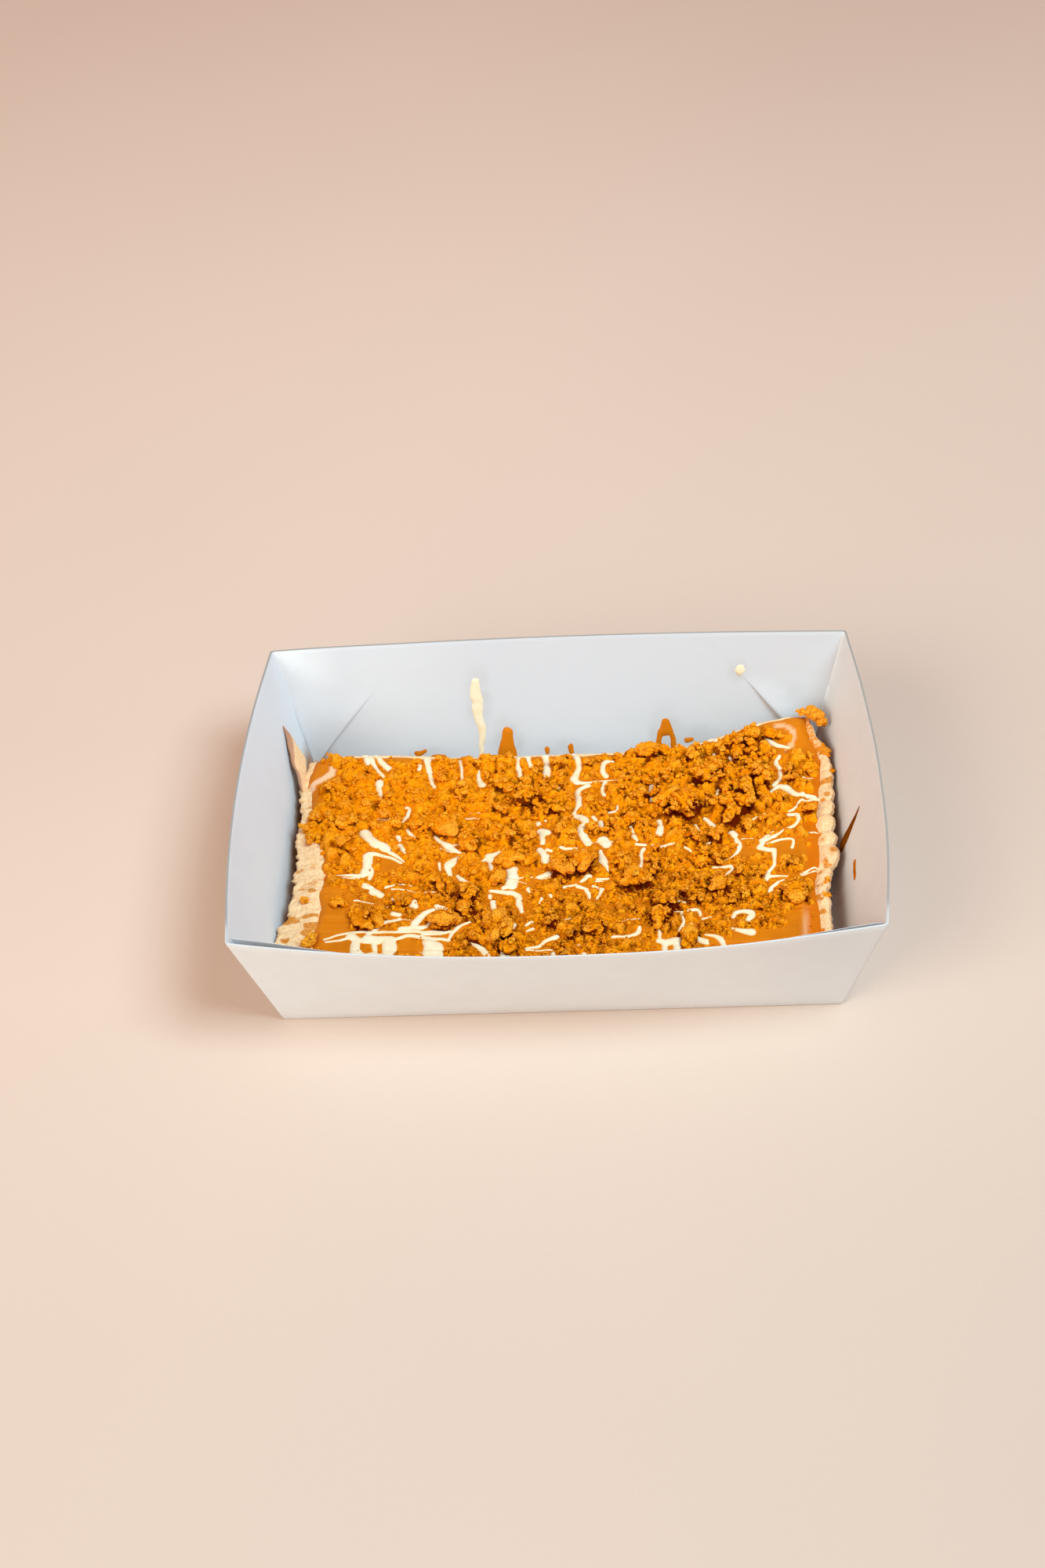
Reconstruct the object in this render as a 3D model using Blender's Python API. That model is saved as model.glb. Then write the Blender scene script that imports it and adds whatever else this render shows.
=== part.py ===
"""Folded dessert crepe in an open paperboard tray.

The tray is one folded sheet with web corners. In it lies one folded crepe with a layer of
spread on top and a heap of biscuit crumbs on the spread. Units are metres, +Z is up, +X
runs along the tray's long side and -Y faces the diner. The origin is on the table, under
the tray's centre.
"""

import math

import bmesh
import bpy
from mathutils import Vector, noise

# ---- Driving dimensions ----------------------------------------------------------------

GAP = 0.0003                  # clearance between one solid and the next

# Paper tray, measured on the outside of the board
RIM_LENGTH = 0.200            # from corner to corner of the rim
RIM_WIDTH = 0.142
BASE_LENGTH = 0.178
BASE_WIDTH = 0.121
TRAY_HEIGHT = 0.046
BOARD = 0.0007                # thickness of the paperboard
END_BOW = 0.0045              # how far the short rims bulge outwards at their middle
SIDE_BOW = 0.0065             # the same for the long rims
SIDE_SAG = 0.0030             # how far the long rims dip at their middle
SIDE_SEGMENTS = 14
END_SEGMENTS = 10
WALL_RINGS = 3                # strips of faces from the base to the rim

# Web corners: a folded triangle of board lies against each end of the long walls
GUSSET_THICKNESS = 0.0009
GUSSET_APEX_T = 0.68          # apex, along the long wall from its middle to its end
GUSSET_APEX_S = 0.66          # apex, from the base to the rim
GUSSET_FOOT_S = 0.05
GUSSET_HEAD_S = 0.97
GUSSET_STEPS = 4

# Crepe
CREPE_FLOOR = BOARD + GAP
CREPE_HEIGHT = 0.0150         # folded layers, pressed flat
CORNER_RISE = 0.0040          # climb towards the tray's back right corner
SURFACE_WAVE = 0.0004
EDGE_ROUND = 0.0010           # rounding where the top turns down into the sides
FOLDED_LAYERS = 3             # stacked folds that show around the sides
FOLD_CREASE = 0.0009          # depth of the crease between two folds
SIDE_TAPER = 0.0046           # how much further in the foot is than the top
LEFT_DROOP = 0.0016           # bare strip along the left edge, sloping down
LIP_HEIGHT = 0.0012           # ruffled rim along the right edge
LIP_WIDTH = 0.0080
RUFFLE_PITCH = 0.0110
RUFFLE_DEPTH = 0.0009
CURL_HEIGHT = 0.0105          # back left corner, curled up against the end wall
CURL_REACH = 0.0060
CURL_LENGTH = 0.0180
CURL_LEAF = 0.0016            # thickness of the curled corner
CREPE_COLUMNS = 32
CREPE_ROWS = 28

# Spread
SPREAD_THICKNESS = 0.0014
SPREAD_EDGE = 0.0006          # thickness where it runs out
SPREAD_COLUMNS = 28
SPREAD_ROWS = 18

# Crumb heap
CRUMB_BED = 0.0012            # thinnest part of the heap
CRUMB_LUMP = 0.0042           # how much the tallest lumps add
CRUMB_LUMP_SIZE = 0.0085
CRUMB_RAGGED = 0.0022         # unevenness of the heap's outline
CRUMB_COLUMNS = 30
CRUMB_ROWS = 20


# ---- Small helpers ---------------------------------------------------------------------

def clear_scene():
    for old in list(bpy.data.objects):
        bpy.data.objects.remove(old, do_unlink=True)


def ease(low, high, value):
    """Rises smoothly from 0 at low to 1 at high."""
    share = min(1.0, max(0.0, (value - low) / (high - low)))
    return share * share * (3.0 - 2.0 * share)


def bump(centre, width, value):
    """A smooth hump of height 1 at centre."""
    return math.exp(-((value - centre) / width) ** 2)


def spaced(count, edge_bias=0.5):
    """Steps from -1 to 1, closer together towards both ends."""
    even = [-1.0 + 2.0 * i / count for i in range(count + 1)]
    return [(1.0 - edge_bias) * e + edge_bias * math.sin(e * math.pi / 2.0) for e in even]


def principled(name, colour, roughness):
    material = bpy.data.materials.new(name)
    material.use_nodes = True
    shader = material.node_tree.nodes["Principled BSDF"]
    shader.inputs["Base Color"].default_value = (*colour, 1.0)
    shader.inputs["Roughness"].default_value = roughness
    shader.inputs["Metallic"].default_value = 0.0
    return material


def finish_object(name, mesh_builder, material, smooth_angle):
    """Turns a filled bmesh into a named, shaded object."""
    bmesh.ops.recalc_face_normals(mesh_builder, faces=mesh_builder.faces)
    mesh = bpy.data.meshes.new(name)
    mesh_builder.to_mesh(mesh)
    mesh_builder.free()
    mesh.materials.append(material)
    mesh.shade_smooth()
    mesh.set_sharp_from_angle(angle=math.radians(smooth_angle))
    piece = bpy.data.objects.new(name, mesh)
    bpy.context.collection.objects.link(piece)
    return piece


def bridge(builder, lower, upper):
    """Joins two closed rings of vertices, of the same length, with a strip of triangles."""
    count = len(lower)
    for i in range(count):
        j = (i + 1) % count
        builder.faces.new((lower[i], lower[j], upper[j]))
        builder.faces.new((lower[i], upper[j], upper[i]))


# ---- Paper tray ------------------------------------------------------------------------

def wall_point(wall, t, s, inset=0.0, end_inset=None):
    """A point on a wall: t runs from -1 to 1 along it and s from 0 at the base to 1 at the
    rim. The inset moves it towards the inside of the tray, and end_inset does so along the
    wall only."""
    if end_inset is None:
        end_inset = inset
    bulge = s * (1.0 - t * t)
    half_length = (BASE_LENGTH + (RIM_LENGTH - BASE_LENGTH) * s) / 2.0
    half_width = (BASE_WIDTH + (RIM_WIDTH - BASE_WIDTH) * s) / 2.0
    outwards = 1.0 if wall in ("back", "right") else -1.0
    if wall in ("front", "back"):
        x = t * (half_length - end_inset)
        y = outwards * (half_width - inset + SIDE_BOW * bulge)
        return Vector((x, y, TRAY_HEIGHT * s - SIDE_SAG * bulge))
    x = outwards * (half_length - inset + END_BOW * bulge)
    y = t * (half_width - end_inset)
    return Vector((x, y, TRAY_HEIGHT * s))


def tray_ring(s, inset):
    """One closed ring around the tray, anticlockwise from its front left corner."""
    ring = []
    for wall, segments, direction in (
        ("front", SIDE_SEGMENTS, 1.0),
        ("right", END_SEGMENTS, 1.0),
        ("back", SIDE_SEGMENTS, -1.0),
        ("left", END_SEGMENTS, -1.0),
    ):
        for i in range(segments):
            t = direction * (-1.0 + 2.0 * i / segments)
            ring.append(wall_point(wall, t, s, inset))
    return ring


def tray_shell():
    """Outer face up to the rim and inner face down to the floor, as one closed skin."""
    levels = [(i / WALL_RINGS, 0.0) for i in range(WALL_RINGS + 1)]
    levels += [(i / WALL_RINGS, BOARD) for i in range(WALL_RINGS, 0, -1)]
    levels.append((BOARD / TRAY_HEIGHT, BOARD))
    builder = bmesh.new()
    rings = []
    for s, inset in levels:
        rings.append([builder.verts.new(point) for point in tray_ring(s, inset)])
    for lower, upper in zip(rings, rings[1:]):
        bridge(builder, lower, upper)
    # The floor is flat apart from the long walls' tiny bulge at this height
    for vertex in rings[-1]:
        vertex.co.z = BOARD
    builder.faces.new(rings[0])
    builder.faces.new(rings[-1])
    return builder


def gusset(wall, end):
    """A closed triangular slab that lies on the wall's inside and reaches into its end."""
    foot = Vector((end, GUSSET_FOOT_S))
    head = Vector((end, GUSSET_HEAD_S))
    apex = Vector((end * GUSSET_APEX_T, GUSSET_APEX_S))
    bite = 0.5 * BOARD
    builder = bmesh.new()
    sheets = []
    for inset in (bite, BOARD + GUSSET_THICKNESS):
        rows = []
        for i in range(GUSSET_STEPS + 1):
            towards_apex = i / GUSSET_STEPS
            row = []
            for j in range(GUSSET_STEPS - i + 1):
                along = j / max(1, GUSSET_STEPS - i)
                on_edge = foot.lerp(head, along)
                t, s = on_edge.lerp(apex, towards_apex)
                row.append(builder.verts.new(wall_point(wall, t, s, inset, bite)))
            rows.append(row)
        sheets.append(rows)
    for rows in sheets:
        for row, shorter in zip(rows, rows[1:]):
            for j in range(len(shorter)):
                builder.faces.new((row[j], row[j + 1], shorter[j]))
                if j + 1 < len(shorter):
                    builder.faces.new((row[j + 1], shorter[j + 1], shorter[j]))
    rims = []
    for rows in sheets:
        corner_side = rows[0]
        upper_side = [row[-1] for row in rows[1:]]
        lower_side = [row[0] for row in rows[1:-1]]
        rims.append(corner_side + upper_side + lower_side[::-1])
    bridge(builder, rims[0], rims[1])
    return builder


def build_tray():
    board = principled("white_paperboard", (0.80, 0.81, 0.82), 0.55)
    tray = finish_object("paper_tray", tray_shell(), board, 25.0)
    for wall in ("front", "back"):
        for end in (-1.0, 1.0):
            side_name = "left" if end < 0.0 else "right"
            name = "gusset_{}_{}".format(wall, side_name)
            flap = finish_object(name, gusset(wall, end), board, 25.0)
            flap.hide_render = True
            flap.display_type = "WIRE"
            union = tray.modifiers.new(name, "BOOLEAN")
            union.operation = "UNION"
            union.solver = "EXACT"
            union.object = flap
    return tray


# ---- Layers of food --------------------------------------------------------------------

def left_edge(y):
    return -(0.0880 + 0.0010 * bump(-0.018, 0.012, y) + 0.0040 * bump(-0.041, 0.006, y))


def right_edge(y):
    return 0.0880 + 0.0036 * ease(-0.045, -0.008, y)


def front_edge(x):
    return -0.0605 + 0.0008 * math.sin(70.0 * x)


def back_edge(x):
    return 0.0455 + 0.0130 * ease(0.030, 0.090, x) + 0.0032 * ease(-0.020, -0.080, x)


def plan_point(u, v, margins, corner_round):
    """Maps the square u, v = -1..1 onto the crepe's outline, drawn in by the margins of
    its left, right, front and back edges, with its corners rounded."""
    left, right, front, back = margins
    x = 0.0
    y = 0.0
    for _ in range(4):
        low_y = front_edge(x) + front
        high_y = back_edge(x) - back
        y = low_y + (high_y - low_y) * (v + 1.0) / 2.0
        low_x = left_edge(y) + left
        high_x = right_edge(y) - right
        x = low_x + (high_x - low_x) * (u + 1.0) / 2.0
    corner = 0.3 * corner_round * abs(u * v) ** 10
    x -= math.copysign(corner, u)
    y -= math.copysign(corner, v)
    return x, y


def crepe_top(x, y):
    """Height of the crepe's upper surface, before its edge is rounded."""
    rise = CORNER_RISE * ease(0.030, 0.090, x) * ease(0.005, 0.058, y)
    wave = SURFACE_WAVE * math.sin(95.0 * x + 1.1) * math.cos(120.0 * y - 0.4)
    droop = LEFT_DROOP * ease(0.0095, 0.0, x - left_edge(y))
    from_right = right_edge(y) - x
    lip = LIP_HEIGHT * ease(LIP_WIDTH, 0.5 * LIP_WIDTH, from_right)
    return CREPE_FLOOR + CREPE_HEIGHT + rise + wave + lip - droop


def spread_top(x, y, u=0.0, v=0.0):
    run_out = max(abs(u), abs(v)) ** 14
    thickness = SPREAD_THICKNESS + (SPREAD_EDGE - SPREAD_THICKNESS) * run_out
    return crepe_top(x, y) + GAP + thickness


def crumb_height(x, y):
    """Thickness of the heap: a bed with rounded lumps of uneven size."""
    coarse = noise.noise(Vector((x, y, 0.3)) / CRUMB_LUMP_SIZE)
    fine = noise.noise(Vector((x, y, 0.7)) / (0.5 * CRUMB_LUMP_SIZE))
    lumps = 0.5 + 0.9 * coarse + 0.35 * fine
    return CRUMB_BED + CRUMB_LUMP * min(1.0, max(0.0, lumps))


def lattice(builder, columns, rows, place):
    """A grid of vertices over u, v = -1..1, and its triangles."""
    grid = []
    for v in spaced(rows, 0.35):
        grid.append([builder.verts.new(place(u, v)) for u in spaced(columns)])
    for lower, upper in zip(grid, grid[1:]):
        for i in range(columns):
            builder.faces.new((lower[i], lower[i + 1], upper[i + 1]))
            builder.faces.new((lower[i], upper[i + 1], upper[i]))
    return grid


def border(grid):
    """The grid's outer vertices, anticlockwise from its front left corner."""
    ring = list(grid[0])
    ring += [row[-1] for row in grid[1:-1]]
    ring += list(reversed(grid[-1]))
    ring += [row[0] for row in reversed(grid[1:-1])]
    return ring


def inward_directions(ring):
    """Level directions into an anticlockwise ring, one for each vertex."""
    directions = []
    for i, vertex in enumerate(ring):
        along = ring[(i + 1) % len(ring)].co - ring[i - 1].co
        directions.append(Vector((-along.y, along.x, 0.0)).normalized())
    return directions


# ---- Crepe -----------------------------------------------------------------------------

def curl_share(u, v):
    """How much of the back left corner's curl a point on the outline takes."""
    if u > -1.0:
        return 0.0
    x, y = plan_point(-1.0, v, (0.0, 0.0, 0.0, 0.0), 0.0)
    corner_y = back_edge(left_edge(y))
    return max(0.0, 1.0 - (corner_y - y) / CURL_LENGTH) ** 1.3


def crepe_point(u, v):
    margins = (EDGE_ROUND, EDGE_ROUND, EDGE_ROUND, EDGE_ROUND)
    x, y = plan_point(u, v, margins, 0.008)
    z = crepe_top(x, y)
    if max(abs(u), abs(v)) == 1.0:
        z -= 0.4 * EDGE_ROUND
    curl = curl_share(u, v)
    return Vector((x - CURL_REACH * curl, y, z + CURL_HEIGHT * curl))


def build_crepe():
    builder = bmesh.new()
    grid = lattice(builder, CREPE_COLUMNS, CREPE_ROWS, crepe_point)
    top_ring = border(grid)
    directions = inward_directions(top_ring)
    rings = [top_ring]

    # The curled corner is a leaf: its underside follows it, one leaf's thickness lower
    curls = [0.0] * len(top_ring)
    for row, v in zip(grid, spaced(CREPE_ROWS, 0.35)):
        curls[top_ring.index(row[0])] = curl_share(-1.0, v)
    home = []
    for vertex, curl in zip(top_ring, curls):
        home.append(vertex.co - Vector((-CURL_REACH * curl, 0.0, CURL_HEIGHT * curl)))

    steps = 2 * FOLDED_LAYERS
    for step in range(steps):
        depth = (step + 0.7) / steps
        crease = step % 2
        ring = []
        for point, curl, inward in zip(home, curls, directions):
            ruffle = 0.0
            if point.x > 0.08:
                ruffle = RUFFLE_DEPTH * math.cos(2.0 * math.pi * point.y / RUFFLE_PITCH)
            shift = -EDGE_ROUND + SIDE_TAPER * depth + FOLD_CREASE * crease + ruffle
            place = point + inward * shift
            place.z = CREPE_FLOOR + (point.z - CREPE_FLOOR) * (1.0 - depth)
            if step == 0 and curl > 0.0:
                under = point + Vector((-CURL_REACH * curl, 0.0, CURL_HEIGHT * curl))
                under.z -= CURL_LEAF
                place = place.lerp(under, min(1.0, 2.0 * curl))
            ring.append(builder.verts.new(place))
        rings.append(ring)
    foot = []
    for point, inward in zip(home, directions):
        place = point + inward * (SIDE_TAPER + FOLD_CREASE)
        place.z = CREPE_FLOOR
        foot.append(builder.verts.new(place))
    rings.append(foot)
    for upper, lower in zip(rings, rings[1:]):
        bridge(builder, lower, upper)
    builder.faces.new(foot)
    dough = principled("crepe_dough", (0.78, 0.56, 0.36), 0.65)
    return finish_object("crepe", builder, dough, 50.0)


# ---- Spread and crumbs -----------------------------------------------------------------

def two_sided_layer(name, columns, rows, top_place, bottom_place, material, smooth_angle):
    """A closed slab between two surfaces that share one lattice."""
    builder = bmesh.new()
    top = lattice(builder, columns, rows, top_place)
    bottom = lattice(builder, columns, rows, bottom_place)
    bridge(builder, border(bottom), border(top))
    return finish_object(name, builder, material, smooth_angle)


def spread_plan(u, v):
    margins = (0.0098, LIP_WIDTH, 0.0025, 0.0018)
    return plan_point(u, v, margins, 0.008)


def build_spread():
    def top_place(u, v):
        x, y = spread_plan(u, v)
        return Vector((x, y, spread_top(x, y, u, v)))

    def bottom_place(u, v):
        x, y = spread_plan(u, v)
        return Vector((x, y, crepe_top(x, y) + GAP))

    caramel = principled("caramel_spread", (0.62, 0.22, 0.03), 0.25)
    return two_sided_layer("caramel_spread", SPREAD_COLUMNS, SPREAD_ROWS,
                           top_place, bottom_place, caramel, 50.0)


def crumb_plan(u, v):
    """The heap stops short of the front left corner, and its outline is uneven."""
    margins = (0.0135, 0.0130, 0.0050, 0.0045)
    x, y = plan_point(u, v, margins, 0.010)
    if max(abs(u), abs(v)) == 1.0:
        shift = noise.noise_vector(Vector((x, y, 0.5)) / 0.006)
        x -= math.copysign(CRUMB_RAGGED * abs(shift.x), u) * abs(u) ** 8
        y -= math.copysign(CRUMB_RAGGED * abs(shift.y), v) * abs(v) ** 8
    bare_corner = ease(-0.050, -0.074, x) * ease(-0.026, -0.050, y)
    return x + 0.014 * bare_corner, y + 0.004 * bare_corner


def build_crumbs():
    def top_place(u, v):
        x, y = crumb_plan(u, v)
        thinning = 1.0 - 0.6 * max(abs(u), abs(v)) ** 16
        height = crumb_height(x, y) * thinning
        return Vector((x, y, spread_top(x, y) + GAP + height))

    def bottom_place(u, v):
        x, y = crumb_plan(u, v)
        return Vector((x, y, spread_top(x, y) + GAP))

    biscuit = principled("biscuit_crumbs", (0.72, 0.28, 0.04), 0.9)
    return two_sided_layer("biscuit_crumbs", CRUMB_COLUMNS, CRUMB_ROWS,
                           top_place, bottom_place, biscuit, 20.0)


def main():
    clear_scene()
    build_tray()
    build_crepe()
    build_spread()
    build_crumbs()


main()
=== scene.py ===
"""Looks of a folded dessert crepe in its open paper tray.

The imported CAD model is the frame. Every piece here is a fine mesh that stands in for one of
its nodes or lies on one: the tray, the crepe, the caramel spread, the white chocolate drizzled
over it, the bed of biscuit crumbs with its loose lumps and grains, and the smears on the walls.

Everything is in metres in the model's frame: +X runs along the tray's long side, -Y faces
the diner, +Z is up, and the origin is on the table under the tray's centre.
"""

import itertools
import math

import bmesh
import bpy
import numpy as np
from mathutils import Matrix, Vector


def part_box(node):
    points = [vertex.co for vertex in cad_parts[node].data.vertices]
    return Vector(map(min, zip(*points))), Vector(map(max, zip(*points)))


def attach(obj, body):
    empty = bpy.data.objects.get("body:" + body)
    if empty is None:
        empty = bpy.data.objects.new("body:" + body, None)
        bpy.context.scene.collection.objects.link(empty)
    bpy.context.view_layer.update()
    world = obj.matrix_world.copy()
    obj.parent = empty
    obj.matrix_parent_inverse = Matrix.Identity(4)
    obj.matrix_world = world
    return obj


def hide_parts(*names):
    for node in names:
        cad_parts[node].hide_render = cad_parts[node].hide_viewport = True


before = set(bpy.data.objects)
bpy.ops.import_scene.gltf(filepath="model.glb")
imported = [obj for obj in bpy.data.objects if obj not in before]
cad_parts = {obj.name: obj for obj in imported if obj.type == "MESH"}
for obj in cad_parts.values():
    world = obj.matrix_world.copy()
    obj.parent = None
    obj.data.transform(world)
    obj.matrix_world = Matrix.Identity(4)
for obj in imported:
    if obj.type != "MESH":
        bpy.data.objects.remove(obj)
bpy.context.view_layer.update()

MM = 0.001

# ---- Sizes, from the frame where it has them --------------------------------------------

TRAY_LOW, TRAY_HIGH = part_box("paper_tray")
CREPE_LOW, CREPE_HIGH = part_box("crepe")

# Paper tray, on the outside of the board
BOARD = 0.7 * MM
END_BOW = 4.5 * MM            # how far the short rims bulge outwards at their middle
SIDE_BOW = 6.5 * MM           # the same for the long rims
SIDE_SAG = 3.0 * MM           # how far the long rims dip at their middle
TRAY_HEIGHT = TRAY_HIGH.z
RIM_LENGTH = TRAY_HIGH.x - TRAY_LOW.x - 2.0 * END_BOW
RIM_WIDTH = TRAY_HIGH.y - TRAY_LOW.y - 2.0 * SIDE_BOW
BASE_LENGTH = RIM_LENGTH - 22.0 * MM
BASE_WIDTH = RIM_WIDTH - 21.0 * MM
FOLD_RADIUS = 0.9 * MM        # rounding of the board's folds
BOARD_WAVE = 0.25 * MM        # unevenness of the hand-folded walls

# Web corners: a folded triangle of board against each end of the long walls
GUSSET_APEX = 0.52            # how far along the long wall the triangle reaches at the rim
GUSSET_FOOT = 0.05
GUSSET_HEAD = 0.975
GUSSET_BOARD = 0.75 * MM

# Crepe
CREPE_FLOOR = CREPE_LOW.z
CREPE_HEIGHT = 15.0 * MM
LEFT_SIDE = CREPE_LOW.x + 3.0 * MM
RIGHT_SIDE = CREPE_HIGH.x - 4.3 * MM
FRONT_SIDE = CREPE_LOW.y + 0.3 * MM
BACK_SIDE = CREPE_HIGH.y - 10.9 * MM
CORNER_ROUND = 8.0 * MM

# Spread and cuts
SPREAD_THICKNESS = 1.4 * MM
CUT_ROWS = [30.5 * MM, 14.3 * MM, -1.8 * MM, -17.7 * MM, -33.9 * MM, -48.9 * MM]
CUT_WIDTH = 0.55 * MM
CUT_DEPTH = 0.45 * MM

# Lobes of the puffed right rim, in millimetres: middle along y, half length, how puffed
RIM_LOBES = [
    (40.5, 4.4, 0.25), (33.0, 3.9, 0.35), (25.5, 3.8, 0.55), (18.6, 3.4, 0.65), (12.8, 3.2, 0.75),
    (5.3, 4.4, 0.95), (-2.0, 3.6, 1.00), (-10.6, 5.6, 1.15), (-21.5, 4.6, 0.45), (-32.0, 5.0, 0.35),
    (-44.0, 7.0, 0.12),
]

SEED = 20


# ---- Number helpers ---------------------------------------------------------------------

def unit(value):
    """Keeps a value between 0 and 1."""
    return np.clip(value, 0.0, 1.0)


def ease(low, high, value):
    """Rises smoothly from 0 at low to 1 at high."""
    share = unit((value - low) / (high - low))
    return share * share * (3.0 - 2.0 * share)


def bump(centre, width, value):
    """A smooth hump of height 1 at centre."""
    return np.exp(-((value - centre) / width) ** 2)


def corner_value(ix, iy, iz, seed):
    """A repeatable number from -1 to 1 for each corner of a cubic lattice."""
    mask = np.uint64(0xFFFFFFFF)
    mixed = ix.astype(np.int64) * 73856093 ^ iy.astype(np.int64) * 19349663
    mixed = (mixed ^ iz.astype(np.int64) * 83492791 ^ seed * 40503).astype(np.uint64) & mask
    mixed = ((mixed ^ (mixed >> np.uint64(15))) * np.uint64(2246822519)) & mask
    mixed = ((mixed ^ (mixed >> np.uint64(13))) * np.uint64(3266489917)) & mask
    mixed = mixed ^ (mixed >> np.uint64(16))
    return mixed.astype(np.float64) / 2147483647.5 - 1.0


def lattice(x, y, z, size):
    """Places counted in cells of one size, and the lowest corner of the cell that each is in."""
    place = np.broadcast_arrays(*[np.asarray(value) / size for value in (x, y, z)])
    return place, [np.floor(value) for value in place]


def noise(x, y, z, size, seed=0):
    """Smooth noise from about -1 to 1, whose lumps are about one size across."""
    place, cell = lattice(x, y, z, size)
    part = [value - corner for value, corner in zip(place, cell)]
    fade = [p * p * p * (p * (p * 6.0 - 15.0) + 10.0) for p in part]
    total = np.zeros(place[0].shape)
    for step in itertools.product((0, 1), repeat=3):
        a, b, c = [f if up else 1.0 - f for f, up in zip(fade, step)]
        total += a * b * c * corner_value(*[low + up for low, up in zip(cell, step)], seed)
    return total * 1.3


def granules(x, y, z, size, seed=0):
    """Packed round bumps of about one size: 1 on a bump's middle, falling to 0 between them."""
    place, cell = lattice(x, y, z, size)
    nearest = np.full(place[0].shape, 9.0)
    for step in itertools.product((-1, 0, 1), repeat=3):
        home = [corner + by for corner, by in zip(cell, step)]
        gap = np.zeros(nearest.shape)
        for axis, (value, corner) in enumerate(zip(place, home)):
            centre = corner + 0.5 + 0.42 * corner_value(*home, seed + 7 * axis + 1)
            gap += (value - centre) ** 2
        nearest = np.minimum(nearest, gap)
    return unit(1.0 - np.sqrt(nearest))


def from_spot(x, y, middle_x, middle_y, half_x, half_y):
    """How far a place is from an oval spot given in millimetres, squared, with 1 on its edge."""
    return ((x / MM - middle_x) / half_x) ** 2 + ((y / MM - middle_y) / half_y) ** 2


def over(shade, more):
    """Two shades from 0 to 1, laid one over the other."""
    return 1.0 - (1.0 - shade) * (1.0 - more)


def smooth_route(route, steps=6):
    """A rounded line through a few points (a Catmull-Rom spline)."""
    points = np.array(route, float)
    if len(points) == 2:
        share = np.linspace(0.0, 1.0, steps + 1)[:, None]
        return points[0] * (1.0 - share) + points[1] * share
    padded = np.vstack([2 * points[0] - points[1], points, 2 * points[-1] - points[-2]])
    line = []
    for a, b, c, d in zip(padded, padded[1:], padded[2:], padded[3:]):
        for q in np.arange(steps) / steps:
            line.append(0.5 * (2 * b + (c - a) * q + (2 * a - 5 * b + 4 * c - d) * q * q
                               + (3 * b - a - 3 * c + d) * q ** 3))
    line.append(points[-1])
    return np.array(line)


# ---- Mesh helpers -----------------------------------------------------------------------

def grid_quads(rows, columns):
    """The quads of a grid of points that is numbered row by row."""
    index = np.arange(rows * columns).reshape(rows, columns)
    corners = [index[:-1, :-1], index[:-1, 1:], index[1:, 1:], index[1:, :-1]]
    return np.stack(corners, -1).reshape(-1, 4)


def slab(top, bottom, quads):
    """Closes a sheet of quads into a solid: its top, its bottom and a strip round its border.
    Also gives which points of the sheet it used."""
    used, compact = np.unique(quads, return_inverse=True)
    quads = compact.reshape(-1, 4)
    count = len(used)
    edges = np.concatenate([quads[:, [k, (k + 1) % 4]] for k in range(4)])
    ordered = np.sort(edges, 1)
    _, first, times = np.unique(ordered[:, 0] * count + ordered[:, 1],
                                return_index=True, return_counts=True)
    rim = edges[first[times == 1]]
    sides = np.stack([rim[:, 1], rim[:, 0], rim[:, 0] + count, rim[:, 1] + count], 1)
    points = np.concatenate([top[used], bottom[used]])
    return points, np.concatenate([quads, quads[:, ::-1] + count, sides]), used


def without_corner_touches(mask):
    """Fills cells until no two kept cells meet only at a corner."""
    mask = mask.copy()
    while True:
        a, b, c, d = mask[:-1, :-1], mask[:-1, 1:], mask[1:, :-1], mask[1:, 1:]
        falling = a & d & ~b & ~c
        rising = b & c & ~a & ~d
        if not (falling | rising).any():
            return mask
        mask[:-1, 1:] |= falling
        mask[:-1, :-1] |= rising


def add_object(name, data):
    """A new object in the scene."""
    added = bpy.data.objects.new(name, data)
    bpy.context.scene.collection.objects.link(added)
    return added


def make_piece(name, points, faces, material, smooth=True, sharp_angle=None, tones=None):
    """A mesh object that rides on the tray's body. Tones are named numbers, one per vertex,
    that its material reads."""
    mesh = bpy.data.meshes.new(name)
    mesh.from_pydata(np.asarray(points).tolist(), [], [list(face) for face in faces])
    mesh.materials.append(material)
    for tone, values in (tones or {}).items():
        attribute = mesh.attributes.new(tone, "FLOAT", "POINT")
        attribute.data.foreach_set("value", np.asarray(values, np.float32))
    mesh.validate()
    if smooth:
        mesh.shade_smooth()
    if sharp_angle is not None:
        mesh.set_sharp_from_angle(angle=math.radians(sharp_angle))
    piece = add_object(name, mesh)
    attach(piece, "root")
    return piece


# ---- Material helpers -------------------------------------------------------------------

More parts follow.
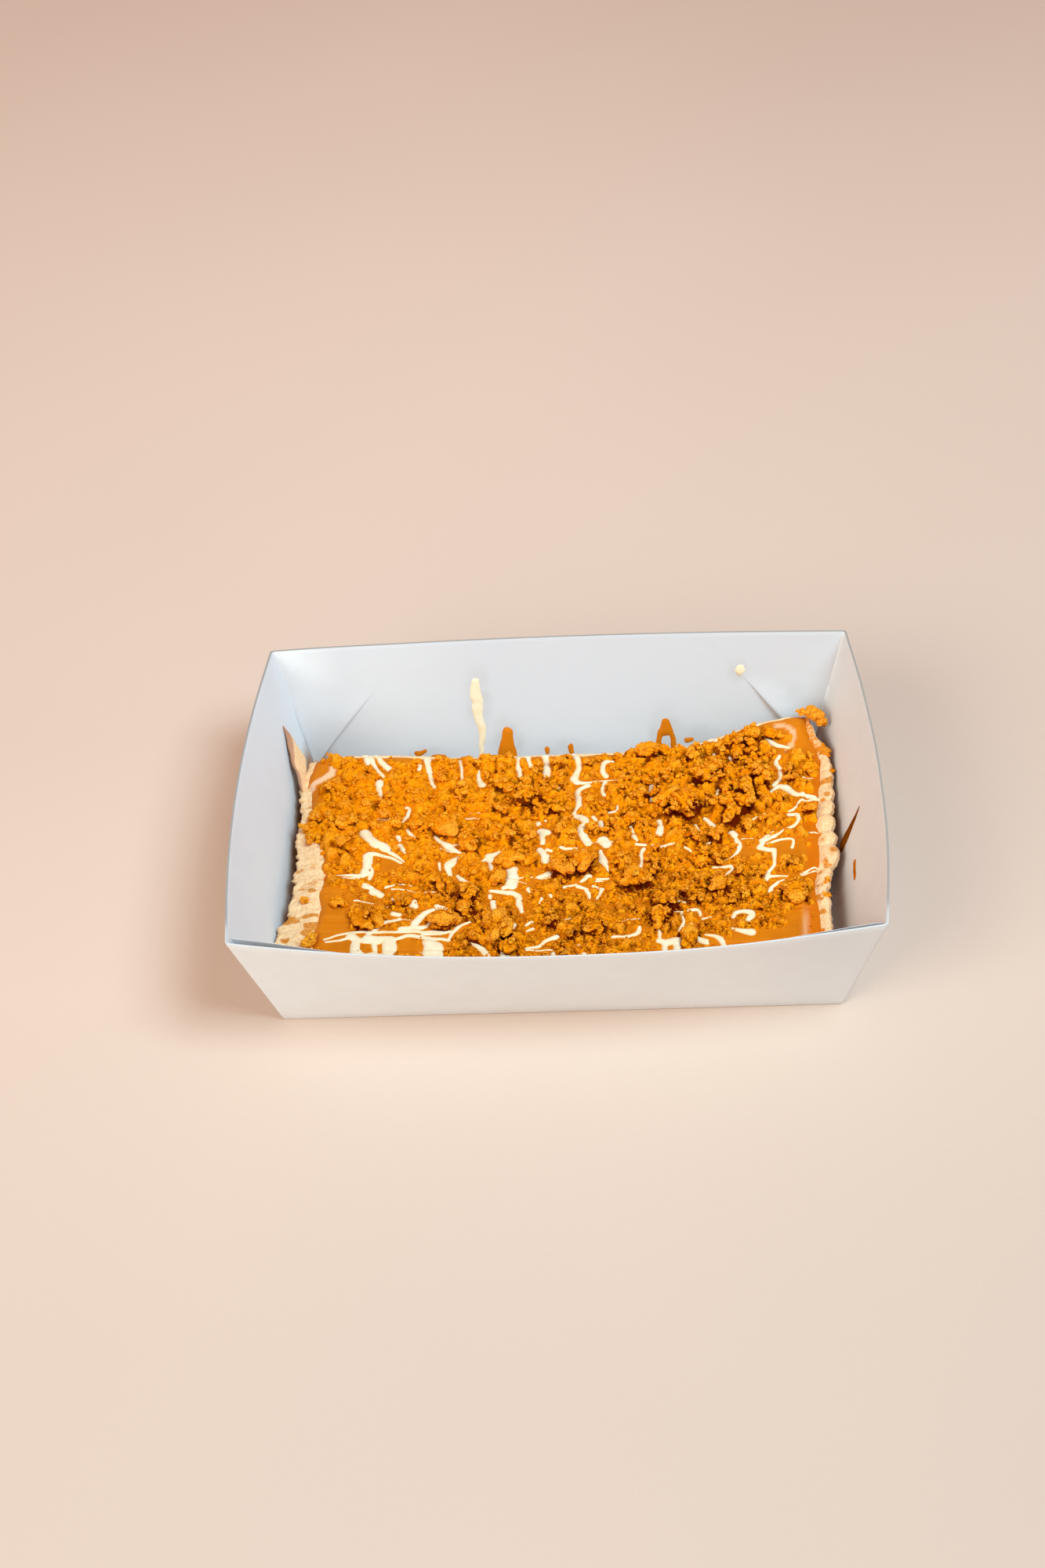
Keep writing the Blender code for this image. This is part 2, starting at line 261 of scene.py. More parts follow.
class Finish:
    """A node material that is built up step by step around one Principled shader."""

    def __init__(self, name, roughness, specular=0.5):
        self.material = bpy.data.materials.new(name)
        self.material.use_nodes = True
        self.tree = self.material.node_tree
        self.shader = self.tree.nodes["Principled BSDF"]
        self.shader.inputs["Roughness"].default_value = roughness
        self.shader.inputs["Specular IOR Level"].default_value = specular
        self.place = self.add("ShaderNodeTexCoord", {}).outputs["Object"]

    def add(self, kind, inputs, **settings):
        """A new node, with what feeds its inputs."""
        node = self.tree.nodes.new(kind)
        for key, value in settings.items():
            setattr(node, key, value)
        for socket, value in inputs.items():
            self.feed(node.inputs[socket], value)
        return node

    def feed(self, socket, value):
        """Links an output into a socket, or sets the socket to a plain value."""
        if isinstance(value, bpy.types.NodeSocket):
            self.tree.links.new(value, socket)
        else:
            socket.default_value = value

    def noise(self, size, detail=3.0, roughness=0.55, stretch=(1.0, 1.0, 1.0), distortion=0.0):
        """Noise from 0 to 1 whose features are about one size across, in metres."""
        mapping = self.add("ShaderNodeMapping", {"Vector": self.place,
                                                 "Scale": [1.0 / s for s in stretch]})
        return self.add("ShaderNodeTexNoise", {
            "Vector": mapping.outputs["Vector"], "Scale": 1.0 / size, "Detail": detail,
            "Roughness": roughness, "Distortion": distortion}).outputs["Fac"]

    def cells(self, size):
        """The distance to the nearest of scattered points that are about one size apart."""
        inputs = {"Vector": self.place, "Scale": 1.0 / size}
        return self.add("ShaderNodeTexVoronoi", inputs).outputs["Distance"]

    def tone(self, name):
        """One of the numbers that make_piece gave the vertices."""
        return self.add("ShaderNodeAttribute", {}, attribute_name=name).outputs["Fac"]

    def combine(self, operation, a, b):
        return self.add("ShaderNodeMath", {0: a, 1: b}, operation=operation).outputs[0]

    def remap(self, value, low, high, new_low=0.0, new_high=1.0):
        """Eases a value's range from low to high into a new one."""
        inputs = {"Value": value, "From Min": low, "From Max": high,
                  "To Min": new_low, "To Max": new_high}
        node = self.add("ShaderNodeMapRange", inputs, interpolation_type="SMOOTHSTEP")
        return node.outputs["Result"]

    def ramp(self, value, stops):
        """A colour that runs through the stops as the value rises."""
        node = self.add("ShaderNodeValToRGB", {"Fac": value})
        elements = node.color_ramp.elements
        while len(elements) < len(stops):
            elements.new(0.5)
        for element, (position, colour) in zip(elements, stops):
            element.position = position
            element.color = (*colour, 1.0)
        return node.outputs["Color"]

    def mix(self, share, first, second, blend="MIX"):
        """The first colour, with the given share of the second laid over it."""
        node = self.add("ShaderNodeMix", {"Factor": share}, data_type="RGBA", blend_type=blend)
        for socket, value in ((node.inputs["A"], first), (node.inputs["B"], second)):
            self.feed(socket, value if isinstance(value, bpy.types.NodeSocket) else (*value, 1.0))
        return node.outputs["Result"]

    def lay(self, share, colour, blend="MIX"):
        """Lays the given share of a colour over the base colour so far."""
        self.base = self.mix(share, self.base, colour, blend)

    def colour(self):
        self.feed(self.shader.inputs["Base Color"], self.base)

    def rough(self, value):
        self.feed(self.shader.inputs["Roughness"], value)

    def relief(self, *layers):
        """Adds bumps: each layer is a height from 0 to 1 and how many metres 1 stands for."""
        normal = None
        for height, depth in layers:
            node = self.add("ShaderNodeBump",
                            {"Strength": 1.0, "Distance": depth, "Height": height})
            if normal is not None:
                self.feed(node.inputs["Normal"], normal)
            normal = node.outputs["Normal"]
        self.feed(self.shader.inputs["Normal"], normal)


# ---- Materials --------------------------------------------------------------------------

def paperboard_finish():
    """Uncoated white board: fibres, mottle, faint grease, a greyer cut edge, and painted light and
    shade.
    """
    finish = Finish("white_paperboard", roughness=0.60, specular=0.25)
    mottle = finish.noise(9 * MM, detail=4.0)
    fibres = finish.noise(0.55 * MM, detail=3.0, stretch=(2.2, 2.2, 0.7))
    grey, white = (0.575, 0.600, 0.640), (0.805, 0.845, 0.870)
    # Painted light and shade: each wall, inside and out, made lighter or darker as the light falls
    # on it
    finish.base = finish.mix(finish.tone("painted_wall_light"), grey, white)
    finish.lay(finish.remap(mottle, 0.3, 0.7, 0.0, 0.10), (0.60, 0.62, 0.63))
    finish.lay(finish.remap(fibres, 0.62, 0.80, 0.0, 0.28), (0.57, 0.58, 0.59))
    grease = finish.tone("grease")
    finish.lay(finish.combine("MULTIPLY", grease, 0.70), (0.42, 0.43, 0.43))
    # Painted warm shade low in the gaps beside the crepe
    finish.lay(finish.tone("stain_and_painted_shade"), (0.34, 0.175, 0.085))
    # The cut edge is greyer, and darker again with painted shade that dims its lit top
    finish.lay(finish.tone("cut_edge_and_painted_shade"), (0.34, 0.32, 0.30))
    finish.colour()
    finish.rough(finish.remap(grease, 0.0, 1.0, 0.62, 0.35))
    finish.relief((mottle, 0.10 * MM), (fibres, 0.03 * MM))
    return finish.material


def dough_finish():
    """Soft pale crepe: creamy, freckled with golden brown, darker where it is baked."""
    finish = Finish("crepe_dough", roughness=0.65, specular=0.18)
    freckles = finish.noise(2.6 * MM, detail=5.0, roughness=0.62)
    fine = finish.noise(0.9 * MM, detail=4.0, roughness=0.6)
    pores = finish.cells(1.1 * MM)
    pale = finish.ramp(fine, [(0.30, (0.86, 0.50, 0.215)), (0.60, (0.96, 0.69, 0.40))])
    golden = finish.ramp(fine, [(0.35, (0.58, 0.19, 0.020)), (0.70, (0.80, 0.36, 0.075))])
    baked = finish.combine("ADD", finish.tone("bake"), finish.combine("SUBTRACT", freckles, 0.5))
    finish.base = finish.mix(finish.remap(baked, 0.20, 0.55), pale, golden)
    # On the crepe this tone is a real caramel stain
    caramel = finish.combine("ADD", finish.tone("stain_and_painted_shade"), finish.combine("SUBTRACT", fine, 0.5))
    finish.lay(finish.remap(caramel, 0.40, 0.65), (0.76, 0.24, 0.012))
    finish.lay(finish.tone("blush"), (0.50, 0.235, 0.150))
    finish.colour()
    finish.relief((freckles, 0.30 * MM), (pores, 0.20 * MM), (fine, 0.10 * MM))
    return finish.material


def caramel_finish(name="caramel_spread", specular=0.08):
    """Smooth set caramel with a soft gloss, deeper in colour where it lies thick."""
    finish = Finish(name, roughness=0.36, specular=specular)
    clouds = finish.noise(11 * MM, detail=3.0, distortion=0.6)
    streaks = finish.noise(2.2 * MM, detail=3.0, stretch=(5.0, 1.0, 1.0))
    finish.base = finish.ramp(clouds, [(0.30, (0.54, 0.150, 0.003)),
                                       (0.70, (0.68, 0.195, 0.004))])
    finish.lay(finish.remap(streaks, 0.50, 0.75, 0.0, 0.20), (0.80, 0.30, 0.030))
    finish.lay(finish.tone("deep"), (0.62, 0.142, 0.001))
    # Painted shade, for a smear that lies in shadow
    finish.lay(finish.tone("painted_shade"), (0.155, 0.040, 0.002))
    finish.lay(finish.tone("milky"), (0.93, 0.60, 0.36))
    finish.colour()
    finish.rough(finish.remap(streaks, 0.3, 0.7, 0.35, 0.50))
    finish.relief((clouds, 0.30 * MM), (finish.noise(0.8 * MM), 0.03 * MM))
    return finish.material


def white_chocolate_finish():
    """Set white chocolate: cream, with the caramel showing through where it is thin."""
    finish = Finish("white_chocolate", roughness=0.42, specular=0.25)
    clouds = finish.noise(3.5 * MM, detail=3.0)
    finish.base = finish.ramp(clouds, [(0.3, (0.84, 0.690, 0.43)), (0.7, (0.90, 0.80, 0.60))])
    finish.lay(finish.tone("thin"), (0.88, 0.50, 0.20))
    finish.colour()
    finish.relief((clouds, 0.20 * MM), (finish.noise(0.6 * MM), 0.03 * MM))
    return finish.material


def biscuit_finish():
    """Caramelised biscuit, dry, sandy and uneven: painted light on peaks, painted shade in hollows.
    """
    finish = Finish("biscuit_crumbs", roughness=0.9, specular=0.01)
    patches = finish.noise(1.6 * MM, detail=4.0, roughness=0.65)
    grit = finish.noise(0.38 * MM, detail=4.0, roughness=0.7)
    pits = finish.cells(0.62 * MM)
    toned = finish.combine("ADD", patches, finish.combine("MULTIPLY", finish.tone("tone"), 0.08))
    finish.base = finish.ramp(toned, [(0.25, (0.90, 0.230, 0.001)), (0.45, (0.97, 0.300, 0.002)),
                                      (0.62, (1.0, 0.362, 0.005)), (0.82, (1.0, 0.470, 0.026))])
    # Painted light on the crumbs' raised parts
    painted_peak_light = finish.combine("MULTIPLY", finish.tone("pale"), 0.45)
    finish.lay(painted_peak_light, (1.0, 0.470, 0.055))
    browned = (0.50, 0.112, 0.001)
    finish.lay(finish.remap(pits, 0.46, 0.80, 0.0, 0.50), browned)
    finish.lay(finish.remap(grit, 0.62, 0.82, 0.0, 0.36), browned)
    # Painted shade where the crumbs are shut in, on their undersides and in their creases
    finish.lay(finish.tone("shade"), (0.13, 0.011, 0.0003))
    finish.colour()
    finish.relief((pits, 0.22 * MM), (grit, 0.16 * MM))
    return finish.material


def floor_finish():
    """Matt peach studio floor, very slightly darker towards the right and the diner: painted shade.
    """
    finish = Finish("pale_floor", roughness=0.85, specular=0.10)
    grain = finish.noise(1.3 * MM, detail=3.0)
    drift = finish.noise(160 * MM, detail=2.0)
    finish.base = finish.ramp(drift, [(0.3, (0.755, 0.594, 0.494)), (0.7, (0.767, 0.604, 0.503))])
    finish.lay(finish.remap(grain, 0.55, 0.80, 0.0, 0.10), (0.60, 0.46, 0.38))
    # Painted falloff of the light: darker towards the diner and towards the right
    across = finish.add("ShaderNodeSeparateXYZ", {"Vector": finish.place})
    along = finish.remap(across.outputs["Y"], -0.25, 0.45)
    painted_falloff = finish.ramp(along, [(0.0, (0.81, 0.82, 0.83)), (0.20, (0.915, 0.915, 0.915)),
                               (0.45, (0.900, 0.900, 0.900)), (1.0, (1.0, 1.0, 1.0))])
    finish.lay(1.0, painted_falloff, blend="MULTIPLY")
    right = finish.remap(across.outputs["X"], -0.12, 0.22)
    finish.lay(right, (0.90, 0.90, 0.90), blend="MULTIPLY")
    finish.colour()
    finish.relief((grain, 0.05 * MM))
    return finish.material


# ---- Paper tray -------------------------------------------------------------------------

def half_sizes(s):
    """Half the tray's length and half its width at the height s, from 0 to 1, at its corners."""
    return ((BASE_LENGTH + (RIM_LENGTH - BASE_LENGTH) * s) / 2.0,
            (BASE_WIDTH + (RIM_WIDTH - BASE_WIDTH) * s) / 2.0)


def wall_points(wall, t, s, inset=0.0, end_inset=None):
    """Points on a wall: t runs from -1 to 1 along it, s from 0 at the base to 1 at the rim.
    The inset moves them towards the inside, and end_inset does so along the wall only."""
    t, s, inset = np.broadcast_arrays(np.asarray(t, float), np.asarray(s, float), inset)
    end_inset = inset if end_inset is None else end_inset
    bulge = s * (1.0 - t * t)
    half_length, half_width = half_sizes(s)
    outwards = 1.0 if wall in ("back", "right") else -1.0
    fade = s * (1.0 - t ** 8)
    seed = ("front", "right", "back", "left").index(wall)
    wave = BOARD_WAVE * fade * noise(t * 2.1, s * 1.6, 0.0, 1.0, seed)
    if wall in ("front", "back"):
        x = t * (half_length - end_inset)
        y = outwards * (half_width - inset + SIDE_BOW * bulge + wave)
        z = TRAY_HEIGHT * s - SIDE_SAG * bulge
    else:
        x = outwards * (half_length - inset + END_BOW * bulge + wave)
        y = t * (half_width - end_inset)
        z = TRAY_HEIGHT * s
    return np.stack([x, y, z], -1)


def tray_ring(s, inset, side_steps=72, end_steps=52, corner_steps=3):
    """One closed ring round the tray with rounded corners, anticlockwise from the front."""
    ring = []
    order = [("front", side_steps, 1.0), ("right", end_steps, 1.0),
             ("back", side_steps, -1.0), ("left", end_steps, -1.0)]
    for k, (wall, steps, direction) in enumerate(order):
        length = BASE_LENGTH if wall in ("front", "back") else BASE_WIDTH
        reach = 1.0 - 2.0 * FOLD_RADIUS / length
        t = direction * reach * np.linspace(-1.0, 1.0, steps + 1)
        ring.append(wall_points(wall, t, s, inset))
        next_wall, _, next_direction = order[(k + 1) % 4]
        next_length = BASE_LENGTH if next_wall in ("front", "back") else BASE_WIDTH
        start = ring[-1][-1]
        corner = wall_points(wall, direction, s, inset)
        end = wall_points(next_wall, -next_direction * (1.0 - 2.0 * FOLD_RADIUS / next_length),
                          s, inset)
        for q in (np.arange(corner_steps) + 1.0) / (corner_steps + 1.0):
            ring.append(((1 - q) ** 2 * start + 2 * q * (1 - q) * corner + q * q * end)[None])
    return np.concatenate(ring)


def closed_faces(ring_count, length):
    """Quads between closed rings that are numbered one after another, and a cap at each end."""
    k = np.arange(ring_count - 1)[:, None] * length
    i = np.arange(length)[None, :]
    j = (i + 1) % length
    quads = np.stack([k + i, k + j, k + j + length, k + i + length], -1).reshape(-1, 4).tolist()
    first_cap = list(range(length))[::-1]
    last_cap = [(ring_count - 1) * length + i for i in range(length)]
    return quads + [first_cap, last_cap]


def grease_at(points):
    """Faint stains on the inside of the back wall, and round the smears on it."""
    x, y, z = points.T
    stain_and_painted_shade = np.zeros(len(points))
    marks = [(-29, 22, 4.5, 12, 0.55), (-19, 7, 5.5, 9, 0.7), (37, 8, 5.5, 10, 0.7),
             (80, 24, 6, 4, 0.55), (63, 31, 3.5, 4, 0.6), (-47, 3, 8, 3.5, 0.5),
             (2, 4, 9, 4, 0.45), (48, 7, 8, 4, 0.5)]
    for *spot, strength in marks:
        stain_and_painted_shade = np.maximum(stain_and_painted_shade, strength * np.exp(-from_spot(x, z, *spot) ** 2))
    ragged = 0.75 + 0.4 * noise(x, y, z, 3.0 * MM, 5)
    inside_back = (y > 55 * MM) & (z > BOARD)
    return np.where(inside_back, stain_and_painted_shade * ragged, 0.0)


def painted_gap_shade_at(points):
    """Painted warm shade low on the side walls and on the tray's floor beside the crepe."""
    x, y, z = points.T
    ragged = 0.85 + 0.3 * noise(x, y, z, 7.0 * MM, 6)
    on_right = (ease(80 * MM, 84 * MM, x) * ease(22 * MM, 8 * MM, z)
                * (0.30 + 0.70 * ease(-15 * MM, 15 * MM, y)))
    on_left = (ease(-80 * MM, -86 * MM, x) * ease(15 * MM, 4 * MM, z)
               * (0.6 + 0.4 * ease(-5 * MM, 10 * MM, y)))
    return unit(ragged * (on_right + on_left))


def painted_wall_light_at(points, inside):
    """Painted light and shade on the board, from 0 to 1, a little different on each wall."""
    x, y, z = points.T
    half_length, half_width = half_sizes(z / TRAY_HEIGHT)
    on_end = half_length - np.abs(x) < half_width - np.abs(y)
    ends = np.where(x > 0.0, np.where(inside, 1.0, 0.45), np.where(inside, 0.62, 0.40))
    back = 0.15 + 0.20 * ease(-20 * MM, -70 * MM, x) + 0.60 * ease(-74 * MM, -96 * MM, x)
    front = 1.0 - 0.30 * ease(45 * MM, 90 * MM, x)
    sides = np.where(y > 0.0, np.where(inside, back, 0.40), np.where(inside, 0.45, front))
    return np.where(on_end, ends, sides)


def build_tray(material):
    """The tray as one folded board: rings up its outside, over its rim and down its inside."""
    outer = [(0.0, 0.5 * MM), (0.0035, 0.12 * MM)]
    outer += [(s, 0.0) for s in np.linspace(0.012, 0.994, 16)]
    rim = [(0.9985, 0.06 * MM), (1.0, 0.22 * MM), (1.0, BOARD - 0.22 * MM),
           (0.9985, BOARD - 0.06 * MM)]
    floor_s = BOARD / TRAY_HEIGHT
    inner = [(s, BOARD) for s in np.linspace(0.994, floor_s + 0.016, 38)]
    inner += [(floor_s + 0.004, BOARD + 0.15 * MM)]
    rings = [tray_ring(s, inset) for s, inset in outer + rim + inner]
    rings[0][:, 2] = 0.0
    last = tray_ring(floor_s, BOARD + 0.7 * MM)
    last[:, 2] = BOARD
    rings.append(last)
    length = len(rings[0])
    points = np.concatenate(rings)
    faces = closed_faces(len(rings), length)
    ring = np.repeat(np.arange(len(rings)), length)
    first_rim, last_rim = len(outer), len(outer) + len(rim)
    # Painted shade on the rim's lit top, over its greyer cut edge, with less of it along the front
    # rim
    cut_edge_and_painted_shade = ((ring >= first_rim) & (ring < last_rim)).astype(float)
    cut_edge_and_painted_shade *= 1.0 - 0.62 * ease(-60 * MM, -66 * MM, points[:, 1])
    inside = ring >= last_rim
    tones = {"grease": grease_at(points) * inside, "cut_edge_and_painted_shade": cut_edge_and_painted_shade, "stain_and_painted_shade": painted_gap_shade_at(points) * inside,
             "painted_wall_light": painted_wall_light_at(points, inside)}
    tray = make_piece("tray_board", points, faces, material, sharp_angle=42.0,
                      tones=tones)
    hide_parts("paper_tray")


def gusset_lift(wall, end, away, up):
    """How far a folded triangle stands off its wall: away is 1 on its free diagonal edge and 0
    at the tray's corner, up is 0 at its foot and 1 at the rim."""
    if wall == "front":
        return 2.6 * MM * ease(0.35, 1.0, up) * ease(0.9, 0.1, away) * (0.55 if end > 0 else 1.0)
    loose = 1.1 * MM if end > 0 else 0.30 * MM
    return loose * ease(0.35, 1.0, away) * ease(0.66, 0.30, up) * ease(0.0, 0.15, up)


def build_gussets(material):
    """The four folded corner triangles. Each lies flat on its wall with its top in line with
    the rim, so that only its diagonal edge shows, and that fades out towards the rim."""
    rows, columns = 30, 26
    for wall in ("front", "back"):
        for end in (-1.0, 1.0):
            up, away = np.meshgrid(np.linspace(0.0, 1.0, rows), np.linspace(0.0, 1.0, columns),
                                   indexing="ij")
            s = GUSSET_FOOT + (GUSSET_HEAD - GUSSET_FOOT) * up
            reach = 0.012 + (1.0 - GUSSET_APEX) * up
            t = end * (0.9985 - reach * away)
            edge = np.minimum(np.minimum(away * 30.0 + 0.3, (1.0 - away) * 22.0), up * 25.0 + 0.3)
            rounding = np.sqrt(unit(1.0 - (1.0 - unit(edge)) ** 2))
            fade = 0.93 * ease(0.34, 0.66, up) if wall == "back" else 0.88 * ease(0.45, 0.95, up)
            board = GUSSET_BOARD * (1.0 - fade)
            middle = BOARD + gusset_lift(wall, end, away, up) + 0.5 * board
            half = 0.5 * board * (0.30 + 0.70 * rounding)
            near = wall_points(wall, t, s, middle + half, BOARD).reshape(-1, 3)
            far = wall_points(wall, t, s, middle - half - 0.05 * MM, BOARD).reshape(-1, 3)
            quads = grid_quads(rows, columns)
            if (wall == "back") == (end > 0):
                quads = quads[:, ::-1]
            points, faces, _ = slab(near, far, quads)
            flat = np.zeros(len(points))
            pale = painted_wall_light_at(points, flat == 0.0) if wall == "back" else flat + 0.45
            tones = {"grease": grease_at(points) * 0.5, "cut_edge_and_painted_shade": flat, "stain_and_painted_shade": flat,
                     "painted_wall_light": pale}
            side = "left" if end < 0 else "right"
            make_piece("tray_fold_{}_{}".format(wall, side), points, faces, material,
                       sharp_angle=60.0, tones=tones)


# ---- The crepe's surfaces ---------------------------------------------------------------

def left_edge(y):
    """The torn left side, which runs closer to the wall towards the diner."""
    return LEFT_SIDE - 1.2 * MM * ease(8 * MM, 34 * MM, y) - 3.6 * MM * ease(-12 * MM, -48 * MM, y)


def left_border(y):
    """Width of the bare border along the left side."""
    narrow = 7.2 * MM * ease(-8 * MM, 34 * MM, y)
    return 10.4 * MM + 2.6 * MM * ease(-12 * MM, -42 * MM, y) - narrow


def right_edge(y):
    """The right side without its lobes."""
    return (RIGHT_SIDE - 0.7 * MM + 3.7 * MM * ease(-27 * MM, -9 * MM, y)
            + 1.6 * MM * ease(4 * MM, 24 * MM, y) - 3.5 * MM * ease(32 * MM, 50 * MM, y))


def rim_width(y):
    """Width of the puffed rim along the right side."""
    return 4.0 * MM + 1.3 * MM * ease(-38 * MM, -12 * MM, y) - 1.7 * MM * ease(8 * MM, 38 * MM, y)


def front_edge(x):
    """The front side, slightly wavy."""
    return FRONT_SIDE + 0.8 * MM * np.sin(70.0 * x)


def back_edge(x):
    """The back side, which runs back to the tray's wall at the right."""
    return (BACK_SIDE + 13.0 * MM * ease(30 * MM, 90 * MM, x)
            + 3.2 * MM * ease(-20 * MM, -80 * MM, x))


def round_corner(x, y, u, v):
    """Moves a point inwards near the corners of the square u, v = -1..1, so that they round."""
    inwards = 0.3 * CORNER_ROUND * np.abs(u * v) ** 10
    return x - np.copysign(inwards, u), y - np.copysign(inwards, v)


def plan_point(u, v, margin):
    """Maps the square u, v = -1..1 onto the crepe's outline, drawn in by the margin."""
    x = np.zeros(np.broadcast(u, v).shape)
    y = x.copy()
    for _ in range(4):
        low_y = front_edge(x) + margin
        high_y = back_edge(x) - margin
        y = low_y + (high_y - low_y) * (v + 1.0) / 2.0
        low_x = left_edge(y) + margin
        high_x = right_edge(y) - margin
        x = low_x + (high_x - low_x) * (u + 1.0) / 2.0
    return round_corner(x, y, u, v)


def lobes(y):
    """The puffed lobes of the right rim: 0 in the notches between them and 1 on their tops,
    and how strongly each stands out."""
    scallop = np.zeros(np.shape(y))
    strength = np.full(np.shape(y), 0.12)
    for middle, half, puff in RIM_LOBES:
        share = unit(1.0 - ((y / MM - middle) / half) ** 2)
        scallop = np.maximum(scallop, np.sqrt(share) * (share > 0.0))
        strength = np.maximum(strength, puff * ease(0.0, 0.12, share))
    return scallop, strength


def crepe_top(x, y):
    """The crepe's upper surface before its edge is rounded, as the CAD solid has it."""
    rise = 4.0 * MM * ease(30 * MM, 90 * MM, x) * ease(5 * MM, 58 * MM, y)
    wave = 0.4 * MM * np.sin(95.0 * x + 1.1) * np.cos(120.0 * y - 0.4)
    droop = 1.6 * MM * ease(9.5 * MM, 0.0, x - left_edge(y))
    rim = rim_width(y)
    lip = 1.1 * MM * ease(rim + 0.5 * MM, 0.5 * rim, right_edge(y) - x)
    return CREPE_FLOOR + CREPE_HEIGHT + rise + wave + lip - droop


def crepe_skin(x, y):
    """The upper surface with its grain: a streaky left border and a lobed right rim."""
    from_left = x - left_edge(y)
    border = ease(left_border(y) + 2 * MM, left_border(y) - 1 * MM, from_left)
    streaks = 0.34 * MM * noise(x, y * 3.0, 0.0, 4.4 * MM, 62)
    streaks += 0.22 * MM * noise(x, y * 1.6, 0.0, 1.3 * MM, 63)
    streaks += 0.16 * MM * np.abs(noise(x * 0.6, y, 0.0, 0.9 * MM, 68))
    scallop, strength = lobes(y)
    width = rim_width(y)
    from_right = right_edge(y) - x
    across = unit((width - from_right) / width)
    rounded = np.sqrt(across * (2.0 - across))
    puff = (2.1 * MM * scallop * strength - 0.9 * MM * strength) * rounded
    wrinkles = 0.15 * MM * noise(x, y * 0.7, 0.0, 1.3 * MM, 64)
    wrinkles += 0.08 * MM * noise(x, y, 0.0, 0.6 * MM, 69)
    return crepe_top(x, y) + border * streaks + puff + wrinkles * ease(0.0, 0.2, across)


def spread_depth(x, y):
    """How far inside the spread's outline a point is, negative outside it."""
    ragged = 0.7 * MM * noise(x, y, 0.0, 7 * MM, 65) + 0.35 * MM * noise(x, y, 0.0, 2.2 * MM, 66)
    left = x - left_edge(y) - left_border(y) - ragged
    right = right_edge(y) - rim_width(y) - x - 0.25 * ragged
    front = y - front_edge(x) - 1.2 * MM - 0.3 * ragged
    back = back_edge(x) - 1.7 * MM - y - 0.45 * ragged
    return np.minimum(np.minimum(left, right), np.minimum(front, back))


def cut_groove(x, y):
    """The grooves left by cutting the crepe into bites, with the spread pushed up beside them."""
    groove = np.zeros(np.broadcast(x, y).shape)
    for k, row in enumerate(CUT_ROWS):
        off = y - row - 0.5 * MM * noise(x, row, 0.0, 28 * MM, 70 + k)
        firm = 0.75 + 0.35 * noise(x, row, 0.0, 11 * MM, 80 + k)
        groove += firm * (bump(0.0, CUT_WIDTH, off) - 0.32 * bump(0.0, 2.6 * CUT_WIDTH, off))
    for middle, low, high in ((1.5 * MM, 2 * MM, 18 * MM), (-8 * MM, -22 * MM, -3 * MM)):
        off = x - middle
        groove += (ease(low, low + 3 * MM, y) * ease(high, high - 3 * MM, y)
                   * (bump(0.0, CUT_WIDTH, off) - 0.3 * bump(0.0, 2.6 * CUT_WIDTH, off)))
    return groove


def band_channel(x, y):
    """The smooth channel of deep caramel beside the right rim, behind a slight step."""
    along = right_edge(y) - rim_width(y) - x
    wander = 0.4 * MM * noise(0.0, y, 0.0, 11 * MM, 71)
    return ease(4.9 * MM, 4.1 * MM, along + wander) * ease(46 * MM, 30 * MM, y)


def spread_surface(x, y):
    """The top of the spread, or of the bare crepe where there is none."""
    depth = spread_depth(x, y)
    inside = unit(depth / (2.2 * MM))
    film = SPREAD_THICKNESS * (1.0 - (1.0 - inside) ** 2.4)
    film = np.where(depth > 0.0, film, np.maximum(0.9 * depth, -0.45 * MM))
    swell = 0.22 * MM * noise(x, y, 0.0, 9 * MM, 67) * inside
    along = right_edge(y) - rim_width(y) - x
    crease = 0.55 * MM * bump(5.4 * MM, 0.9 * MM, along) * ease(30 * MM, 18 * MM, y)
    film = film + swell + crease - CUT_DEPTH * cut_groove(x, y) * inside
    return crepe_skin_under(x, y) + film - 0.55 * MM * band_channel(x, y) * inside


def crepe_skin_under(x, y):
    """The crepe's surface, without the rim's relief where the spread covers it."""
    covered = ease(-0.6 * MM, 0.6 * MM, spread_depth(x, y))
    return crepe_skin(x, y) * (1.0 - covered) + crepe_top(x, y) * covered


# ---- Crepe ------------------------------------------------------------------------------

def crepe_boundary(x_steps=120, y_steps=180):
    """u and v round the square's border, anticlockwise from its front left corner."""
    along_x = np.linspace(-1.0, 1.0, x_steps, endpoint=False)
    along_y = np.linspace(-1.0, 1.0, y_steps, endpoint=False)
    u = np.concatenate([along_x, np.ones(y_steps), -along_x, -np.ones(y_steps)])
    v = np.concatenate([-np.ones(x_steps), along_y, np.ones(x_steps), -along_y])
    return u, v


def folded_end(x, y):
    """The edges of the crepe's leaves where they show at the front left: how far between two
    leaves a point is, and how much they show there."""
    wander = 0.5 * MM * noise(x, y, 0.0, 6 * MM, 104)
    leaf = 0.5 + 0.5 * np.sin(2.0 * math.pi * (y + 0.16 * x + wander) / (1.9 * MM))
    shown = ease(-45.5 * MM, -49 * MM, y) * ease(-70 * MM, -75 * MM, x)
    return leaf ** 2, shown


